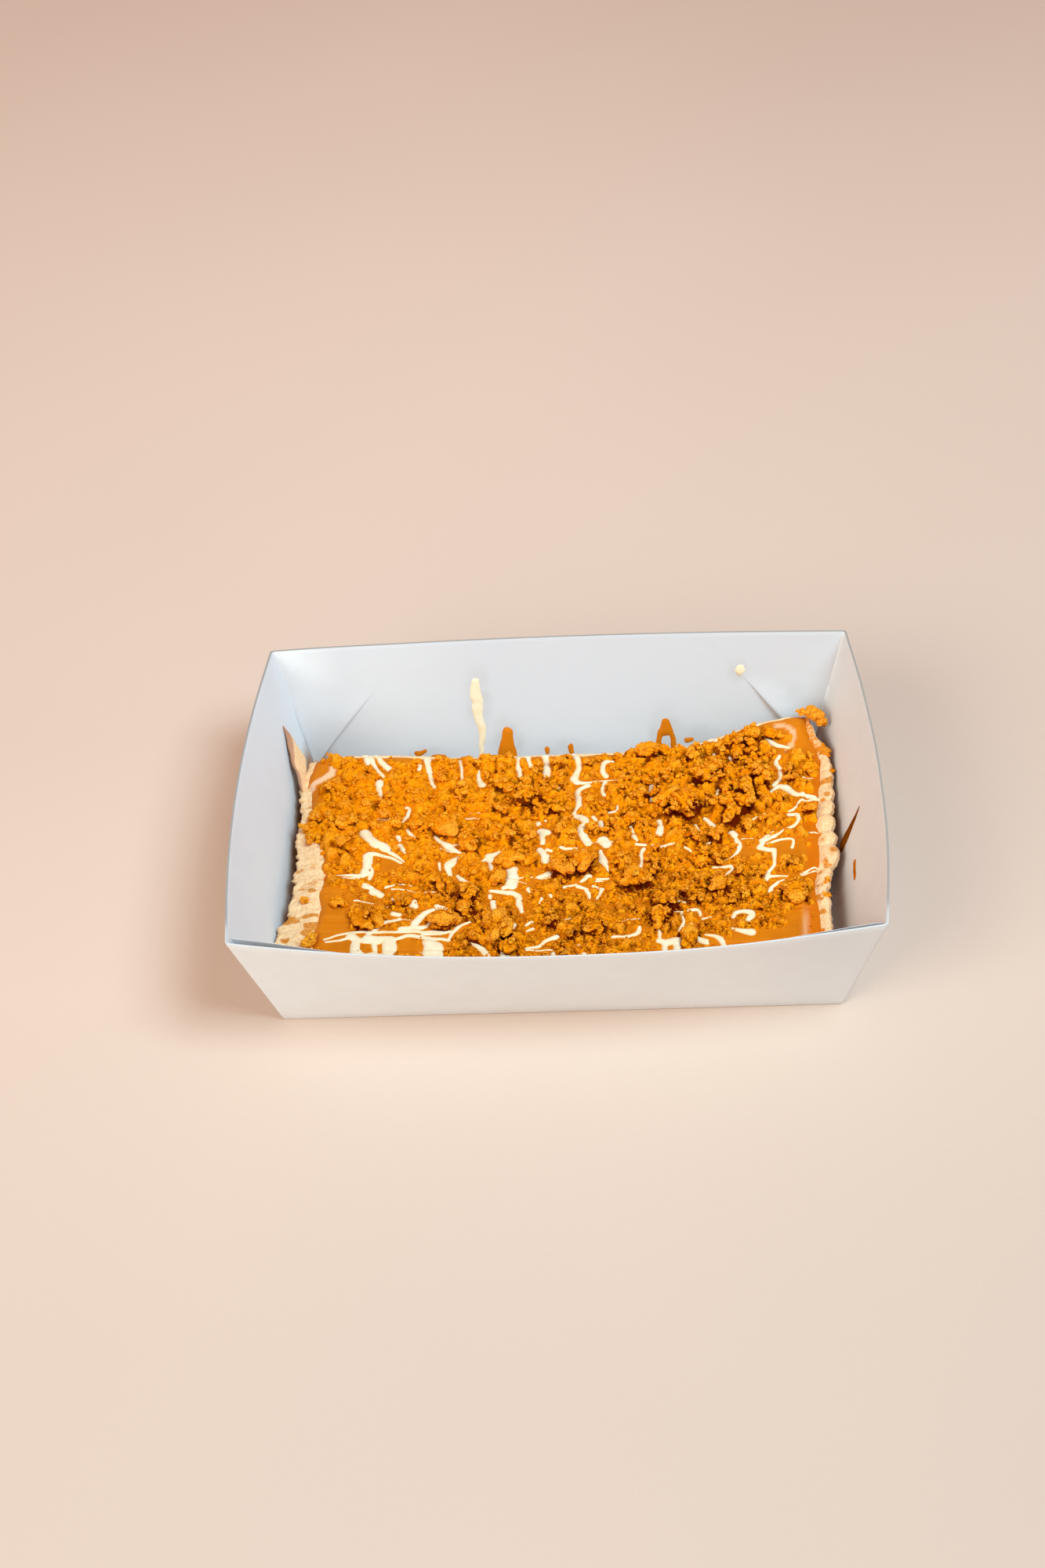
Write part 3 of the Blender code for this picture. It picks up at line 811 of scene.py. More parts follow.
def build_crepe(material):
    """The crepe as one closed skin: rings up its layered side, over its edge and inwards."""
    u, v = crepe_boundary()
    edge_x, edge_y = plan_point(u, v, 0.0)
    ahead = np.roll(edge_x, -1) - np.roll(edge_x, 1)
    sideways = np.roll(edge_y, -1) - np.roll(edge_y, 1)
    reach = np.hypot(ahead, sideways)
    in_x, in_y = -sideways / reach, ahead / reach

    # Raggedness of the outline itself: a torn left edge, a lobed right rim
    on_left = ease(-0.97, -1.0, u)
    on_right = ease(0.97, 1.0, u)
    scallop, strength = lobes(edge_y)
    ragged = 0.60 * MM * noise(edge_x, edge_y, 0.0, 1.7 * MM, 90) * on_left
    ragged += 0.9 * MM * noise(edge_x, edge_y, 0.0, 9 * MM, 97) * on_left
    ragged += 0.22 * MM * noise(edge_x, edge_y, 0.0, 1.1 * MM, 91)
    ragged += (2.4 * MM * scallop - 1.2 * MM) * strength * on_right

    rings, bakes, stains, blushes = [], [], [], []

    def add_ring(inward, z, bake, stain_and_painted_shade):
        x = edge_x + in_x * inward
        y = edge_y + in_y * inward
        rings.append(np.stack([x, y, z], -1))
        bakes.append(np.broadcast_to(bake, x.shape))
        stains.append(np.broadcast_to(stain_and_painted_shade, x.shape))
        blushes.append(0.25 + 0.35 * ease(-47 * MM, -50 * MM, y) * on_left)

    rim_z = crepe_skin(edge_x, edge_y)
    for depth in np.linspace(1.0, 0.09, 15):
        wander = 0.06 * noise(edge_x, edge_y, depth, 14 * MM, 92)
        layered = np.abs(np.sin(3.0 * math.pi * (depth + wander)))
        inward = (0.6 * MM + 4.4 * MM * depth + 0.9 * MM * (1.0 - layered ** 0.5)
                  - ragged * (1.0 - 0.8 * depth)
                  + 0.3 * MM * noise(edge_x, edge_y, depth * 0.02, 4 * MM, 93))
        z = CREPE_FLOOR + (rim_z - CREPE_FLOOR) * (1.0 - depth)
        add_ring(inward, z, 0.30 + 0.25 * (1.0 - layered) + 0.15 * depth, 0.0)
    rolled = 1.0 + 0.9 * on_right
    for inward, drop in ((0.05 * MM, 0.80 * MM), (0.12 * MM, 0.40 * MM), (0.40 * MM, 0.12 * MM)):
        add_ring(inward * rolled - ragged, rim_z - drop * rolled, 0.22, 0.0)
    depths = np.concatenate([np.linspace(0.85, 14.0, 26), [17.0, 22.0, 30.0, 40.0, 50.0]]) * MM
    for inset in depths:
        x, y = plan_point(u, v, inset)
        settle = ease(6.0 * MM, 0.0, inset)
        x = x - in_x * ragged * settle
        y = y - in_y * ragged * settle
        leaf, folded = folded_end(x, y)
        z = crepe_skin_under(x, y) - 0.45 * MM * leaf * folded
        rings.append(np.stack([x, y, z], -1))
        blushes.append(0.65 * leaf * folded)
        width = rim_width(y)
        on_rim = on_right * ease(width + 0.8 * MM, width - 0.3 * MM, inset)
        border = on_left * ease(left_border(y) + 2 * MM, left_border(y) - 1 * MM, inset)
        dabs = unit(noise(x, y * 1.8, 0.0, 3.4 * MM, 94) - 0.12)
        towards_front = 0.45 + 0.75 * ease(-12 * MM, -34 * MM, y)
        notch = (1.0 - scallop) * unit(strength - 0.1) * on_rim
        freckled = on_rim * unit(noise(x, y, 0.0, 3.0 * MM, 98) - 0.42)
        bakes.append(0.02 + 0.85 * dabs * border * towards_front + 0.26 * notch + 0.9 * freckled)
        crumbed = bump(10 * MM, 9 * MM, y) * (0.35 + 0.35 * noise(x, y, 0.0, 2.4 * MM, 99))
        dabbed = unit(noise(x, y, 0.0, 2.6 * MM, 95) - 0.40) * 0.9
        back_right = 0.55 * ease(30 * MM, 44 * MM, y)
        stains.append(border * np.clip(crumbed, 0.0, 0.62) + on_rim * (dabbed + back_right)
                      + 0.35 * on_rim * ease(0.72 * width, width, inset))
    length = len(u)
    points = np.concatenate(rings)
    faces = closed_faces(len(rings), length)
    crepe = make_piece("crepe_body", points, faces, material, sharp_angle=75.0,
                       tones={"bake": np.concatenate(bakes), "stain_and_painted_shade": np.concatenate(stains),
                              "blush": np.concatenate(blushes)})
    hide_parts("crepe")


def build_curl(material):
    """The back left corner, curled up against the end wall: a thin leaf with a browned rim."""
    rows, columns = 40, 26
    a, b = np.meshgrid(np.linspace(0.0, 1.0, rows), np.linspace(0.0, 1.0, columns), indexing="ij")
    height = 12.0 * MM * a ** 1.25 + 0.6 * MM
    x = left_edge(0.04) + 0.9 * MM - (0.6 + 5.4 * a) * MM * b ** 1.15 - 1.2 * MM * a
    y = (31.0 + 17.5 * a) * MM + 2.6 * MM * a * b
    z = CREPE_FLOOR + 13.2 * MM + (height + 1.4 * MM) * b
    ripple = 0.35 * MM * noise(y, z, 0.0, 4 * MM, 96)
    half = 0.75 * MM * (1.0 - 0.55 * b)
    sheet = np.stack([x + ripple, y, z], -1)
    facing = np.array([0.86, -0.35, 0.36])
    near = (sheet + facing * half[..., None]).reshape(-1, 3)
    far = (sheet - facing * half[..., None]).reshape(-1, 3)
    points, faces, used = slab(near, far, grid_quads(rows, columns)[:, ::-1])
    rim = ease(0.70, 0.86, b + 0.06 * np.sin(9.0 * a)).reshape(-1)[used]
    bake = np.concatenate([0.25 * rim - 0.25, 0.25 + 0.2 * rim])
    make_piece("crepe_curl", points, faces, material, sharp_angle=70.0,
               tones={"bake": bake, "stain_and_painted_shade": np.full(len(points), -0.5),
                      "blush": np.concatenate([0.85 * rim, 0.6 + 0.2 * rim])})


# ---- Films: the spread and the white chocolate ------------------------------------------

def drawn_in(x, y):
    """Moves places that lie past the crepe's outline to just inside it."""
    def inside(distance):
        margin = 0.9 * MM
        squeezed = margin * np.exp(np.minimum(distance - margin, 0.0) / margin)
        return np.where(distance > margin, distance, squeezed)

    high = back_edge(x) - 0.35 * MM
    y = high - inside(high - y)
    low = front_edge(x) + 0.35 * MM
    y = low + inside(y - low)
    low = left_edge(y) + 1.0 * MM
    x = low + inside(x - low)
    high = right_edge(y) - 1.0 * MM
    x = high - inside(high - x)
    u = 2.0 * (x - left_edge(y)) / (right_edge(y) - left_edge(y)) - 1.0
    v = 2.0 * (y - front_edge(x)) / (back_edge(x) - front_edge(x)) - 1.0
    return round_corner(x, y, u, v)


def film_piece(name, x, y, top, bottom, wanted, material, tones, block=4):
    """A closed film over a grid of x and y lines, kept within the crepe's outline. It covers
    every block of cells that holds a wanted one, with one face to a block on its underside."""
    x, y = drawn_in(x, y)
    rows = (x.shape[0] - 1) // block * block
    columns = (x.shape[1] - 1) // block * block
    kept = wanted[:rows, :columns].reshape(rows // block, block, columns // block, block)
    kept = without_corner_touches(kept.any((1, 3)))
    crop = (slice(0, rows + 1), slice(0, columns + 1))
    corners = (slice(0, rows + 1, block), slice(0, columns + 1, block))
    upper = np.arange((rows + 1) * (columns + 1)).reshape(rows + 1, columns + 1)
    lower = upper.size + np.arange(x[corners].size).reshape(x[corners].shape)

    fine = np.repeat(np.repeat(kept, block, 0), block, 1)
    faces = grid_quads(rows + 1, columns + 1)[fine.reshape(-1)].tolist()
    under = np.stack([lower[:-1, :-1], lower[1:, :-1], lower[1:, 1:], lower[:-1, 1:]], -1)
    faces += under[kept].tolist()
    framed = np.pad(kept, 1)
    for i, j in np.argwhere(kept):
        r, c = i * block, j * block
        sides = [(framed[i, j + 1], upper[r, c:c + block + 1], lower[i, j], lower[i, j + 1]),
                 (framed[i + 1, j + 2], upper[r:r + block + 1, c + block],
                  lower[i, j + 1], lower[i + 1, j + 1]),
                 (framed[i + 2, j + 1], upper[r + block, c:c + block + 1][::-1],
                  lower[i + 1, j + 1], lower[i + 1, j]),
                 (framed[i + 1, j], upper[r:r + block + 1, c][::-1], lower[i + 1, j], lower[i, j])]
        for neighbour, line, first, last in sides:
            if not neighbour:
                faces.append(line[::-1].tolist() + [int(first), int(last)])

    def both(values, low_values):
        return np.concatenate([values[crop].reshape(-1), low_values[corners].reshape(-1)])

    points = np.stack([both(x, x), both(y, y), both(top, bottom)], -1)
    used = np.unique(np.concatenate([np.array(face) for face in faces]))
    compact = np.zeros(len(points), int)
    compact[used] = np.arange(len(used))
    lookup = compact.tolist()
    faces = [[lookup[corner] for corner in face] for face in faces]
    tones = {key: both(values, values)[used] for key, values in tones.items()}
    return make_piece(name, points[used], faces, material, tones=tones)


def cells_near(mask):
    """Cells of a grid that have at least one of their corners in the mask."""
    return mask[:-1, :-1] | mask[:-1, 1:] | mask[1:, :-1] | mask[1:, 1:]


def lines_with_extra(low, high, step, places, reach, fine):
    """Evenly spaced lines, with finer ones near the given places."""
    lines = list(np.arange(low, high, step))
    for place in places:
        lines = [a for a in lines if abs(a - place) > reach]
        lines += list(np.arange(place - reach, place + reach + 0.5 * fine, fine))
    return np.unique(np.round(lines, 7))


# The pale curves that show through the spread at its back corners, as strokes like the white
# chocolate's
CORNER_CURVES = [
    (1.6, 1.0, -87, 29, -84.8, 33, -81.4, 35.4, -79.2, 38, -78.6, 42),
    (1.2, 1.0, 75.5, 50.6, 78.4, 50.2, 80.3, 47.6, 80.2, 43.5, 78.8, 39.5),
]


def build_spread(material):
    """The layer of caramel, on a grid that is finer along the cuts."""
    x_lines = lines_with_extra(-88 * MM, 94 * MM, 1.05 * MM, [1.5 * MM, -8 * MM], 1.6 * MM,
                               0.40 * MM)
    y_lines = lines_with_extra(-61 * MM, 60 * MM, 1.05 * MM, CUT_ROWS, 1.9 * MM, 0.38 * MM)
    x, y = np.meshgrid(x_lines, y_lines)
    depth = spread_depth(x, y)
    top = spread_surface(x, y)
    bottom = crepe_top(x, y) - 1.3 * MM
    deep = 0.85 * band_channel(x, y) + 0.5 * unit(cut_groove(x, y))
    line = x - 78.4 * MM - 0.10 * (y + 40 * MM)
    milky = bump(0.0, 0.85 * MM, line) * ease(-56 * MM, -46 * MM, y) * ease(-32 * MM, -41 * MM, y)
    curve = stroke_bead(x / MM + 0.4 * noise(x, y, 0.0, 3 * MM, 72), y / MM, CORNER_CURVES)
    milky = np.maximum(0.38 * milky, np.where(x < 0.0, 0.9, 0.62) * ease(0.05, 0.55, curve))
    spread = film_piece("caramel", x, y, top, bottom, cells_near(depth > -0.25 * MM), material,
                        {"deep": unit(deep), "milky": milky},
                        block=2)
    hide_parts("caramel_spread")


# White chocolate strokes, read off the photo through the fitted camera, in millimetres: the half
# width at the start, how many times wider the end is, and then x and y of each point of the
# middle line. In the group at the right, 52 half widths were scaled down together, by 0.84.
DRIZZLE = [
    # Back left: short bars that run down from the far edge
    (1.4, 0.9, -68.4, 49, -67, 42.5), (1.2, 0.6, -66.5, 48, -64.5, 41, -61.2, 35.6),
    (1.15, 1.1, -64.6, 48.5, -62, 43, -59.3, 39), (1.9, 0.5, -62.6, 32.3, -62.3, 29, -61.5, 26),
    (1.4, 0.7, -46.6, 46, -45.6, 40, -45, 35.5, -43.2, 29), (1.0, 1.0, -48.8, 40.5, -48.6, 38),
    (0.8, 0.8, -34.7, 41.5, -33.8, 32.3), (0.6, 2.3, -28, 36.5, -27.6, 31.5, -26.8, 28.8),
    (1.1, 0.9, -15.2, 45, -13.8, 33.2), (1.4, 0.8, -12, 45, -10, 37.6),
    (1.35, 1.0, -5, 45, -4.7, 33.2), (1.1, 0.8, -2.2, 27.2, -0.5, 26.5),
    # The long line that wanders from the far edge to the middle
    (1.4, 0.9, 4.8, 46, 6.3, 39.5, 6.3, 36, 5, 31.5, 5.8, 29.6),
    (0.9, 0.6, 5.8, 29.6, 9, 28.8, 12.5, 29.5),
    (1.0, 1.3, 9.8, 27.4, 7, 26, 6, 24, 6.2, 21, 6.5, 17),
    (1.3, 0.5, 6.5, 17, 5.4, 14.2, 4.2, 12.4), (1.1, 1.3, 4.5, 11.6, 7.8, 10.2, 8.6, 7.4),
    (1.5, 1.0, 8.6, 7.4, 7.2, 5, 8, 1.4, 9.6, -1.8), (2.0, 1.0, 14.5, -1.2, 15.5, -2.3),
    (0.6, 2.3, 13.8, -5.5, 14.2, -8, 14.5, -10.2), (1.4, 0.2, 14.5, -10.2, 15.2, -12.8, 16.5, -16),
    (0.9, 1.3, 18.5, 38.6, 15.6, 38.8, 14.5, 36.2, 14.8, 33.5, 15.6, 31.6),
    (0.45, 0.5, 12, 29.5, 22.5, 29.3), (1.1, 0.7, 15.3, 29, 14.5, 25, 15, 22.2),
    (0.6, 0.9, 16.3, 12.5, 19, 13.5, 19.4, 16.2), (0.7, 0.6, 20, 9.5, 22.5, 8.9, 25.2, 7.4),
    (0.9, 0.8, 11.4, 10.6, 12, 9.4), (1.0, 0.9, 13.8, 8.2, 14, 5.8),
    (0.9, 0.8, 23.8, 5.4, 24.4, 3.2), (1.0, 0.7, 24.6, 1.4, 25.6, -0.8),
    (1.0, 0.9, 31.2, 25.4, 30.8, 23), (0.9, 0.8, 31, 19.4, 30.7, 17.8),
    (1.0, 0.9, 33.2, 8.4, 33.3, 7.0), (1.2, 1.3, 33.4, 5.4, 33, 2.8),
    (0.8, 0.7, 25.4, -2.8, 28.2, -3.0), (0.6, 0.7, 31, -3, 32.3, -3.5),
    (0.9, 0.45, 33.8, -3.9, 38.4, -2.5), (0.9, 0.8, 53.2, 40, 53.2, 38.8),
    (0.8, 0.8, 58.3, 38, 58.6, 37),
    # Left: two big arrows, pulled sideways by the cuts
    (2.2, 0.8, -65.7, 6.2, -64.0, 3.6, -61.2, 1.2, -58.6, -0.8),
    (1.8, 0.1, -58.6, -0.8, -55.5, -3.6, -51.0, -8.4),
    (1.0, 0.5, -63.6, -3.8, -60.6, -4.1, -56, -6.0, -52.4, -8.6),
    (1.9, 0.95, -63.6, -5.0, -63.5, -8.6, -64, -12.2), (1.0, 0.8, -62.4, -10, -62.2, -15.2),
    (1.1, 0.15, -64.6, -13.6, -69, -13.1, -74.2, -12.9), (0.5, 0.2, -66, -14.8, -72.5, -14.0),
    (0.8, 1.8, -41.4, 4, -39.3, 1, -36.6, -1), (1.4, 0.25, -36.8, -0.9, -34.2, -3, -31.6, -4.4),
    (0.35, 0.6, -40, -1.6, -35.6, -3.6), (0.5, 3.4, -31.8, -4.4, -34.6, -7, -36.4, -9.5),
    (1.7, 0.5, -36.5, -9.3, -37, -11.7, -35.9, -14.7), (0.7, 0.6, -40, -8.5, -39.6, -12),
    (1.0, 0.9, -33.5, -15.6, -29.2, -19.4), (0.9, 1.0, -51.9, 19, -51.2, 15.6, -53, 11.8),
    (0.9, 0.9, -51, 7.2, -48.8, 3.8), (0.9, 0.7, -54, 4.2, -53.2, 2.2),
    (1.1, 0.5, -53.2, 0.4, -50.8, -4.2), (0.55, 0.4, -57, -19.2, -51.5, -17.9, -47.2, -19.5),
    (0.5, 0.4, -54.5, -20.2, -51, -20.6, -47.2, -22), (1.3, 0.9, -63.9, -18, -62, -19.2),
    (1.3, 1.1, -61, -20.6, -58.4, -22.9), (0.4, 0.3, -66.5, -24.6, -61, -26.4, -55.5, -28.6),
    (0.7, 0.5, -54.2, -24.6, -52.8, -26.8), (0.6, 0.8, -43.6, -22.5, -40.5, -22.8),
    (1.3, 1.1, -47.5, -27, -46.8, -28.8), (1.2, 0.9, -53.6, -31.4, -51.8, -32.2),
    (1.2, 0.5, -39.6, -28.8, -37.6, -29.8, -35.4, -31.3),
    (0.5, 3.6, -38.8, -30.3, -43, -31.8, -45, -34.3), (1.8, 0.8, -45, -34.3, -46.6, -37.2),
    (0.8, 1.6, -51.5, -34.4, -55.5, -35.6, -59, -38.4, -61.2, -40.4),
    (0.6, 1.8, -40.8, -33.3, -41.8, -37, -45, -38.6, -51, -38.9),
    # Front left: long pulled lines over broad pools with windows of caramel
    (0.5, 1.3, -75.5, -42.4, -68, -40.1, -60, -39.9, -50, -40.2),
    (0.6, 0.9, -50, -40.2, -41, -40.5, -34.5, -40.6),
    (0.4, 2.0, -75, -43.6, -69, -43.2, -66.5, -42),
    (1.6, 1.1, -66.8, -41.4, -65, -43.6, -64.8, -46),
    (1.8, 1.2, -64.9, -46, -64.8, -51, -64.8, -57),
    (1.6, 1.1, -61.5, -42.6, -57, -43.2, -53.4, -43.8),
    (0.9, 1.0, -59.0, -44, -58.6, -48, -58.8, -57),
    (1.3, 1.0, -65.0, -46.8, -63.2, -49.6, -61.4, -51.4),
    (2.2, 1.0, -65.4, -51.9, -60.0, -51.3, -54.5, -51.8),
    (3.1, 1.0, -64.0, -55.3, -59.0, -54.9, -54.6, -55.3),
    (1.3, 1.0, -64.6, -43.4, -60.8, -44.0, -57.5, -44.2),
    (2.5, 1.05, -54.2, -44.8, -53.8, -48, -54.0, -52, -54.0, -57),
    (2.8, 1.1, -41.2, -45.8, -40.8, -49, -40.6, -57),
    (1.2, 1.3, -41.2, -43.8, -38.3, -47, -37.9, -52, -37.9, -57),
    (0.7, 0.9, -52.4, -43.6, -48.4, -41.8, -41.5, -42.9),
    (0.9, 0.8, -41.5, -42.9, -38, -43.4, -35.6, -44),
    (0.8, 0.5, -35.2, -43.8, -34.2, -41, -32, -38.3, -28.2, -36.3),
    (0.4, 0.5, -44, -41.4, -38, -41.4, -33.6, -40.2),
    # Middle
    (0.9, 0.9, -7.3, 8.6, -7.1, 7.6), (0.8, 0.8, -4.9, 10, -4.5, 9),
    (1.5, 1.1, -6.5, 4.7, -4.4, 4.2), (1.3, 0.8, -5.9, 3.4, -5.7, -1.0),
    (1.5, 0.8, -6.6, -4.5, -5.4, -6, -5, -9.6), (0.7, 0.7, -4, -4.2, -2.5, -4.7),
    (0.6, 0.7, -3.8, -6.6, -3.5, -9.2), (0.8, 1.5, -7.2, -16.8, -3.6, -15.2),
    (0.8, 0.4, 0.4, -3.2, 2, -4.1, 6, -4.0), (0.6, 2.2, -19.6, -4.2, -22.5, -5.6),
    (1.7, 0.9, -23.3, -6.0, -23.4, -8), (1.3, 0.5, -23, -8, -22.6, -13.6),
    (0.8, 0.5, -24, -7, -26, -8.6), (2.2, 1.0, -15.2, -13.4, -15.4, -17.5, -15.9, -20),
    (1.2, 0.8, -16, -20.4, -18.4, -21.3), (0.7, 2.0, -22.5, -22.7, -19, -23.2, -15.5, -24),
    (1.4, 0.9, -15.5, -24, -13.3, -25.6, -12.9, -29), (1.2, 0.7, -12.9, -29, -11.8, -32.4),
    (1.0, 0.8, -22.6, -25, -22.6, -26), (1.1, 0.9, -21.7, -28.2, -21.4, -30.8),
    (0.9, 0.9, -10.2, -22.2, -9.8, -23), (0.7, 0.7, -5.5, -26.6, -6.1, -28.8),
    (0.8, 0.8, -2.9, -25.2, -2.5, -26), (1.3, 0.6, 9.6, -17, 7, -19.2),
    (0.8, 0.6, 12.8, -18.6, 16, -18.2), (0.9, 0.6, 1.8, -21.7, 5.4, -20.7),
    (0.9, 0.6, 5.8, -21.7, 8.2, -22.8), (0.9, 0.7, 8.8, -23.4, 9.9, -27.2),
    (0.8, 0.7, 10.8, -21.7, 14.2, -23.1), (0.8, 0.6, 13.4, -23.8, 12.4, -27.4),
    (0.9, 0.8, -14.4, -38.2, -16, -40.6), (0.9, 0.7, -8.8, -37.4, -10.6, -38.4),
    (0.6, 0.6, -8.4, -40.4, -10.4, -41.3), (1.1, 0.4, -1, -44.4, -4.2, -46, -6.2, -48, -11, -49.1),
    (0.8, 1.5, -27.6, -45.4, -24.4, -48, -22.8, -51, -22.4, -54),
    (1.6, 1.4, -17.4, -50.6, -17.2, -56), (1.1, 1.1, -2, -52, -2, -56),
    (0.5, 0.5, -10.5, -50, -2, -50.4), (0.9, 0.9, 7.8, -52.4, 8.4, -54),
    (0.9, 0.8, 17.4, -45.4, 22.2, -45.1), (0.7, 1.3, 22, -45.1, 24.8, -43.8, 25.5, -41.2),
    (0.9, 0.6, 27.8, -5, 26.9, -8, 27, -12, 25.6, -15.6),
    (1.2, 0.2, 26.6, -13.4, 25.2, -16.4, 22, -19.4),
    # Right: loose curls
    (0.92, 0.9, 74.8, 36.8, 74, 33.5, 74.8, 30, 75, 26.5, 72.6, 23.6),
    (0.59, 2.0, 70.2, 47.4, 72.6, 43.6), (1.5, 0.3, 72.6, 43.6, 75.5, 41.7, 79, 39.8),
    (0.76, 1.6, 71, 20.4, 74, 22.6, 76.6, 21.8),
    (1.5, 0.5, 76.6, 21.8, 79, 18.9, 83.5, 18, 90, 15.8),
    (0.5, 1.2, 86, 16.6, 81, 15.2, 78.8, 12.2), (0.76, 0.5, 78.8, 12.2, 76.4, 10.4),
    (0.5, 0.4, 81.5, 25.8, 86, 26), (0.67, 1.5, 76.4, 8.9, 78.8, 8.7, 79.4, 6.5),
    (1.01, 0.5, 79.4, 6.5, 78, 4, 75.8, 2.4),
    (0.45, 2.2, 74.8, 1.4, 72.3, -0.7, 69.4, -2.2, 66.6, -3.6),
    (0.4, 1.5, 70.6, 0.4, 68, -1.5, 66, -3.2), (1.09, 0.8, 67.2, -3.6, 65.8, -5.8),
    (0.55, 0.8, 68.6, -4.6, 73, -3.1, 75.5, -2.9, 76.8, -3.8, 76.3, -6.6),
    (0.92, 1.1, 65.8, -6.1, 68, -7.1, 70.5, -7.3), (1.09, 0.8, 70.5, -7.3, 70.5, -10.5, 70, -14.4),
    (0.76, 1.6, 69.9, -14.6, 68.2, -17, 67.4, -20.2),
    (0.92, 0.3, 67.6, -19.3, 70, -19.1, 74, -19.1),
    (0.67, 1.2, 71, -22.2, 69.2, -23.8, 68.2, -25.6), (0.5, 0.4, 69, -25.3, 65.6, -27.8),
    (0.4, 0.5, 73, -21, 69.6, -23), (0.5, 0.7, 79, -17.8, 82, -15.8, 84.3, -15.4, 87.4, -16.1),
    (0.45, 0.5, 78.4, -19.2, 81, -17.7, 84.6, -16.2), (1.51, 0.9, 57.2, 1.1, 58.2, 0.1),
    (0.67, 1.7, 58.4, -0.8, 59.1, -3.6), (1.26, 0.12, 59.1, -3.8, 58.7, -7, 56.5, -10.4, 52.8, -13),
    (0.76, 1.2, 48.3, 8.7, 50, 6.8, 51.4, 4.4), (0.67, 0.5, 45.3, 5.8, 45.9, 3.6, 47.1, 1.8),
    (0.45, 0.6, 63.8, 7.3, 69, 9.7), (0.76, 0.8, 53.6, 22.2, 52.5, 17.8),
    (0.5, 0.7, 48.7, -3.6, 50.4, -2.7), (0.67, 0.6, 41.4, -4.8, 43, -7.2),
    (0.5, 1.5, 50.4, -14.9, 54, -14.6, 56.4, -14.5), (0.76, 0.6, 56.4, -14.5, 56.3, -16.2, 54, -18),
    (0.67, 0.5, 38.8, -29.7, 41, -30.4), (0.76, 0.8, 41.8, -34, 44, -33.9, 45.4, -36.5),
    (0.59, 1.4, 39.2, -35.4, 39.8, -38, 39.4, -39.6, 38, -43), (0.5, 0.6, 46, -38, 49, -37.3),
    (0.76, 0.8, 41.7, -40, 42.9, -42.5), (0.84, 1.5, 55.4, -37.8, 56.6, -35.8, 59, -34.8),
    (1.43, 0.8, 59.3, -35.1, 61.4, -35.6, 61.1, -37.3, 60.2, -38.9),
    (0.5, 3.6, 54.6, -42.6, 57.4, -43.5, 60.8, -44.6), (1.26, 1.1, 43.5, -46.2, 46.1, -47.8),
    (0.5, 2.1, 46.4, -44.8, 49.5, -45.8, 51.1, -47), (1.09, 0.9, 51.1, -47, 51.7, -50),
    (0.67, 1.1, 31, -38.8, 31.7, -43, 31.5, -46), (1.34, 1.1, 31.4, -46.8, 34, -47.6, 37.4, -46.8),
    (1.18, 1.1, 33.1, -48, 33.2, -56), (1.43, 1.1, 37.1, -47.4, 37.1, -56),
    (0.67, 0.7, 85, -32.2, 85, -33.2), (0.4, 0.5, 82, 0.3, 86, 0.9, 88.6, 1.1),
    (1.68, 0.9, 52.2, 49.8, 54.4, 47.2),
]


def stroke_bead(x, y, strokes, crown=0.42, base=0.25, blend=0.12, uneven=0.0, slim=1.0):
    """The height in millimetres of rounded beads along the strokes, negative outside them.
    x and y are in millimetres too. An uneven stroke swells and narrows along its way."""
    floor = -0.35
    total = np.full(x.shape, math.exp(floor / blend))
    swell = slim + uneven * noise(x, y, 0.0, 3.6, 103)
    for start, taper, *route in strokes:
        line = smooth_route(np.reshape(route, (-1, 2)))
        reach = 1.4 * max(start, start * taper) + 1.0
        near = ((x > line[:, 0].min() - reach) & (x < line[:, 0].max() + reach)
                & (y > line[:, 1].min() - reach) & (y < line[:, 1].max() + reach))
        px, py = x[near], y[near]
        best = np.full(px.shape, floor)
        steps = len(line) - 1
        for k, (a, b) in enumerate(zip(line, line[1:])):
            run = b - a
            share = ((px - a[0]) * run[0] + (py - a[1]) * run[1]) / max(run @ run, 1e-9)
            share = unit(share)
            radius = start * (1.0 + (taper - 1.0) * (k + share) / steps) * swell[near]
            away = np.hypot(px - a[0] - share * run[0], py - a[1] - share * run[1])
            height = (base + crown * radius) * (1.0 - (away / radius) ** 2)
            best = np.maximum(best, height)
        total[near] += np.exp(np.clip(best, floor, 3.0) / blend)
    return blend * np.log(total)


def feather_strokes(rng):
    """Hair-thin streaks that the cuts pulled out of the drizzle, along the cut rows."""
    feathers = []
    for row in CUT_ROWS[1:]:
        for _ in range(4):
            x = rng.uniform(-70, 72)
            length = rng.uniform(3, 9) * rng.choice([-1.0, 1.0])
            y = row / MM + rng.normal(0.0, 1.2)
            rise = rng.normal(0.0, 0.9)
            feathers.append((rng.uniform(0.28, 0.42), 0.35, x, y,
                             x + 0.5 * length, y + 0.3 * rise, x + length, y + rise))
    return feathers


def drizzle_height(x, y):
    """Height of the white chocolate above the spread, in metres, negative where there is none."""
    wobble_x = x + 0.28 * MM * noise(x, y, 0.0, 3.1 * MM, 101)
    wobble_y = y + 0.28 * MM * noise(x, y, 0.3, 3.1 * MM, 102)
    strokes = DRIZZLE + feather_strokes(np.random.default_rng(SEED))
    bead = stroke_bead(wobble_x / MM, wobble_y / MM, strokes, blend=0.08, uneven=0.13, slim=0.92)
    return MM * np.where(bead > 0.0, 0.75 * np.minimum(bead, 0.55 + 0.35 * bead), bead)


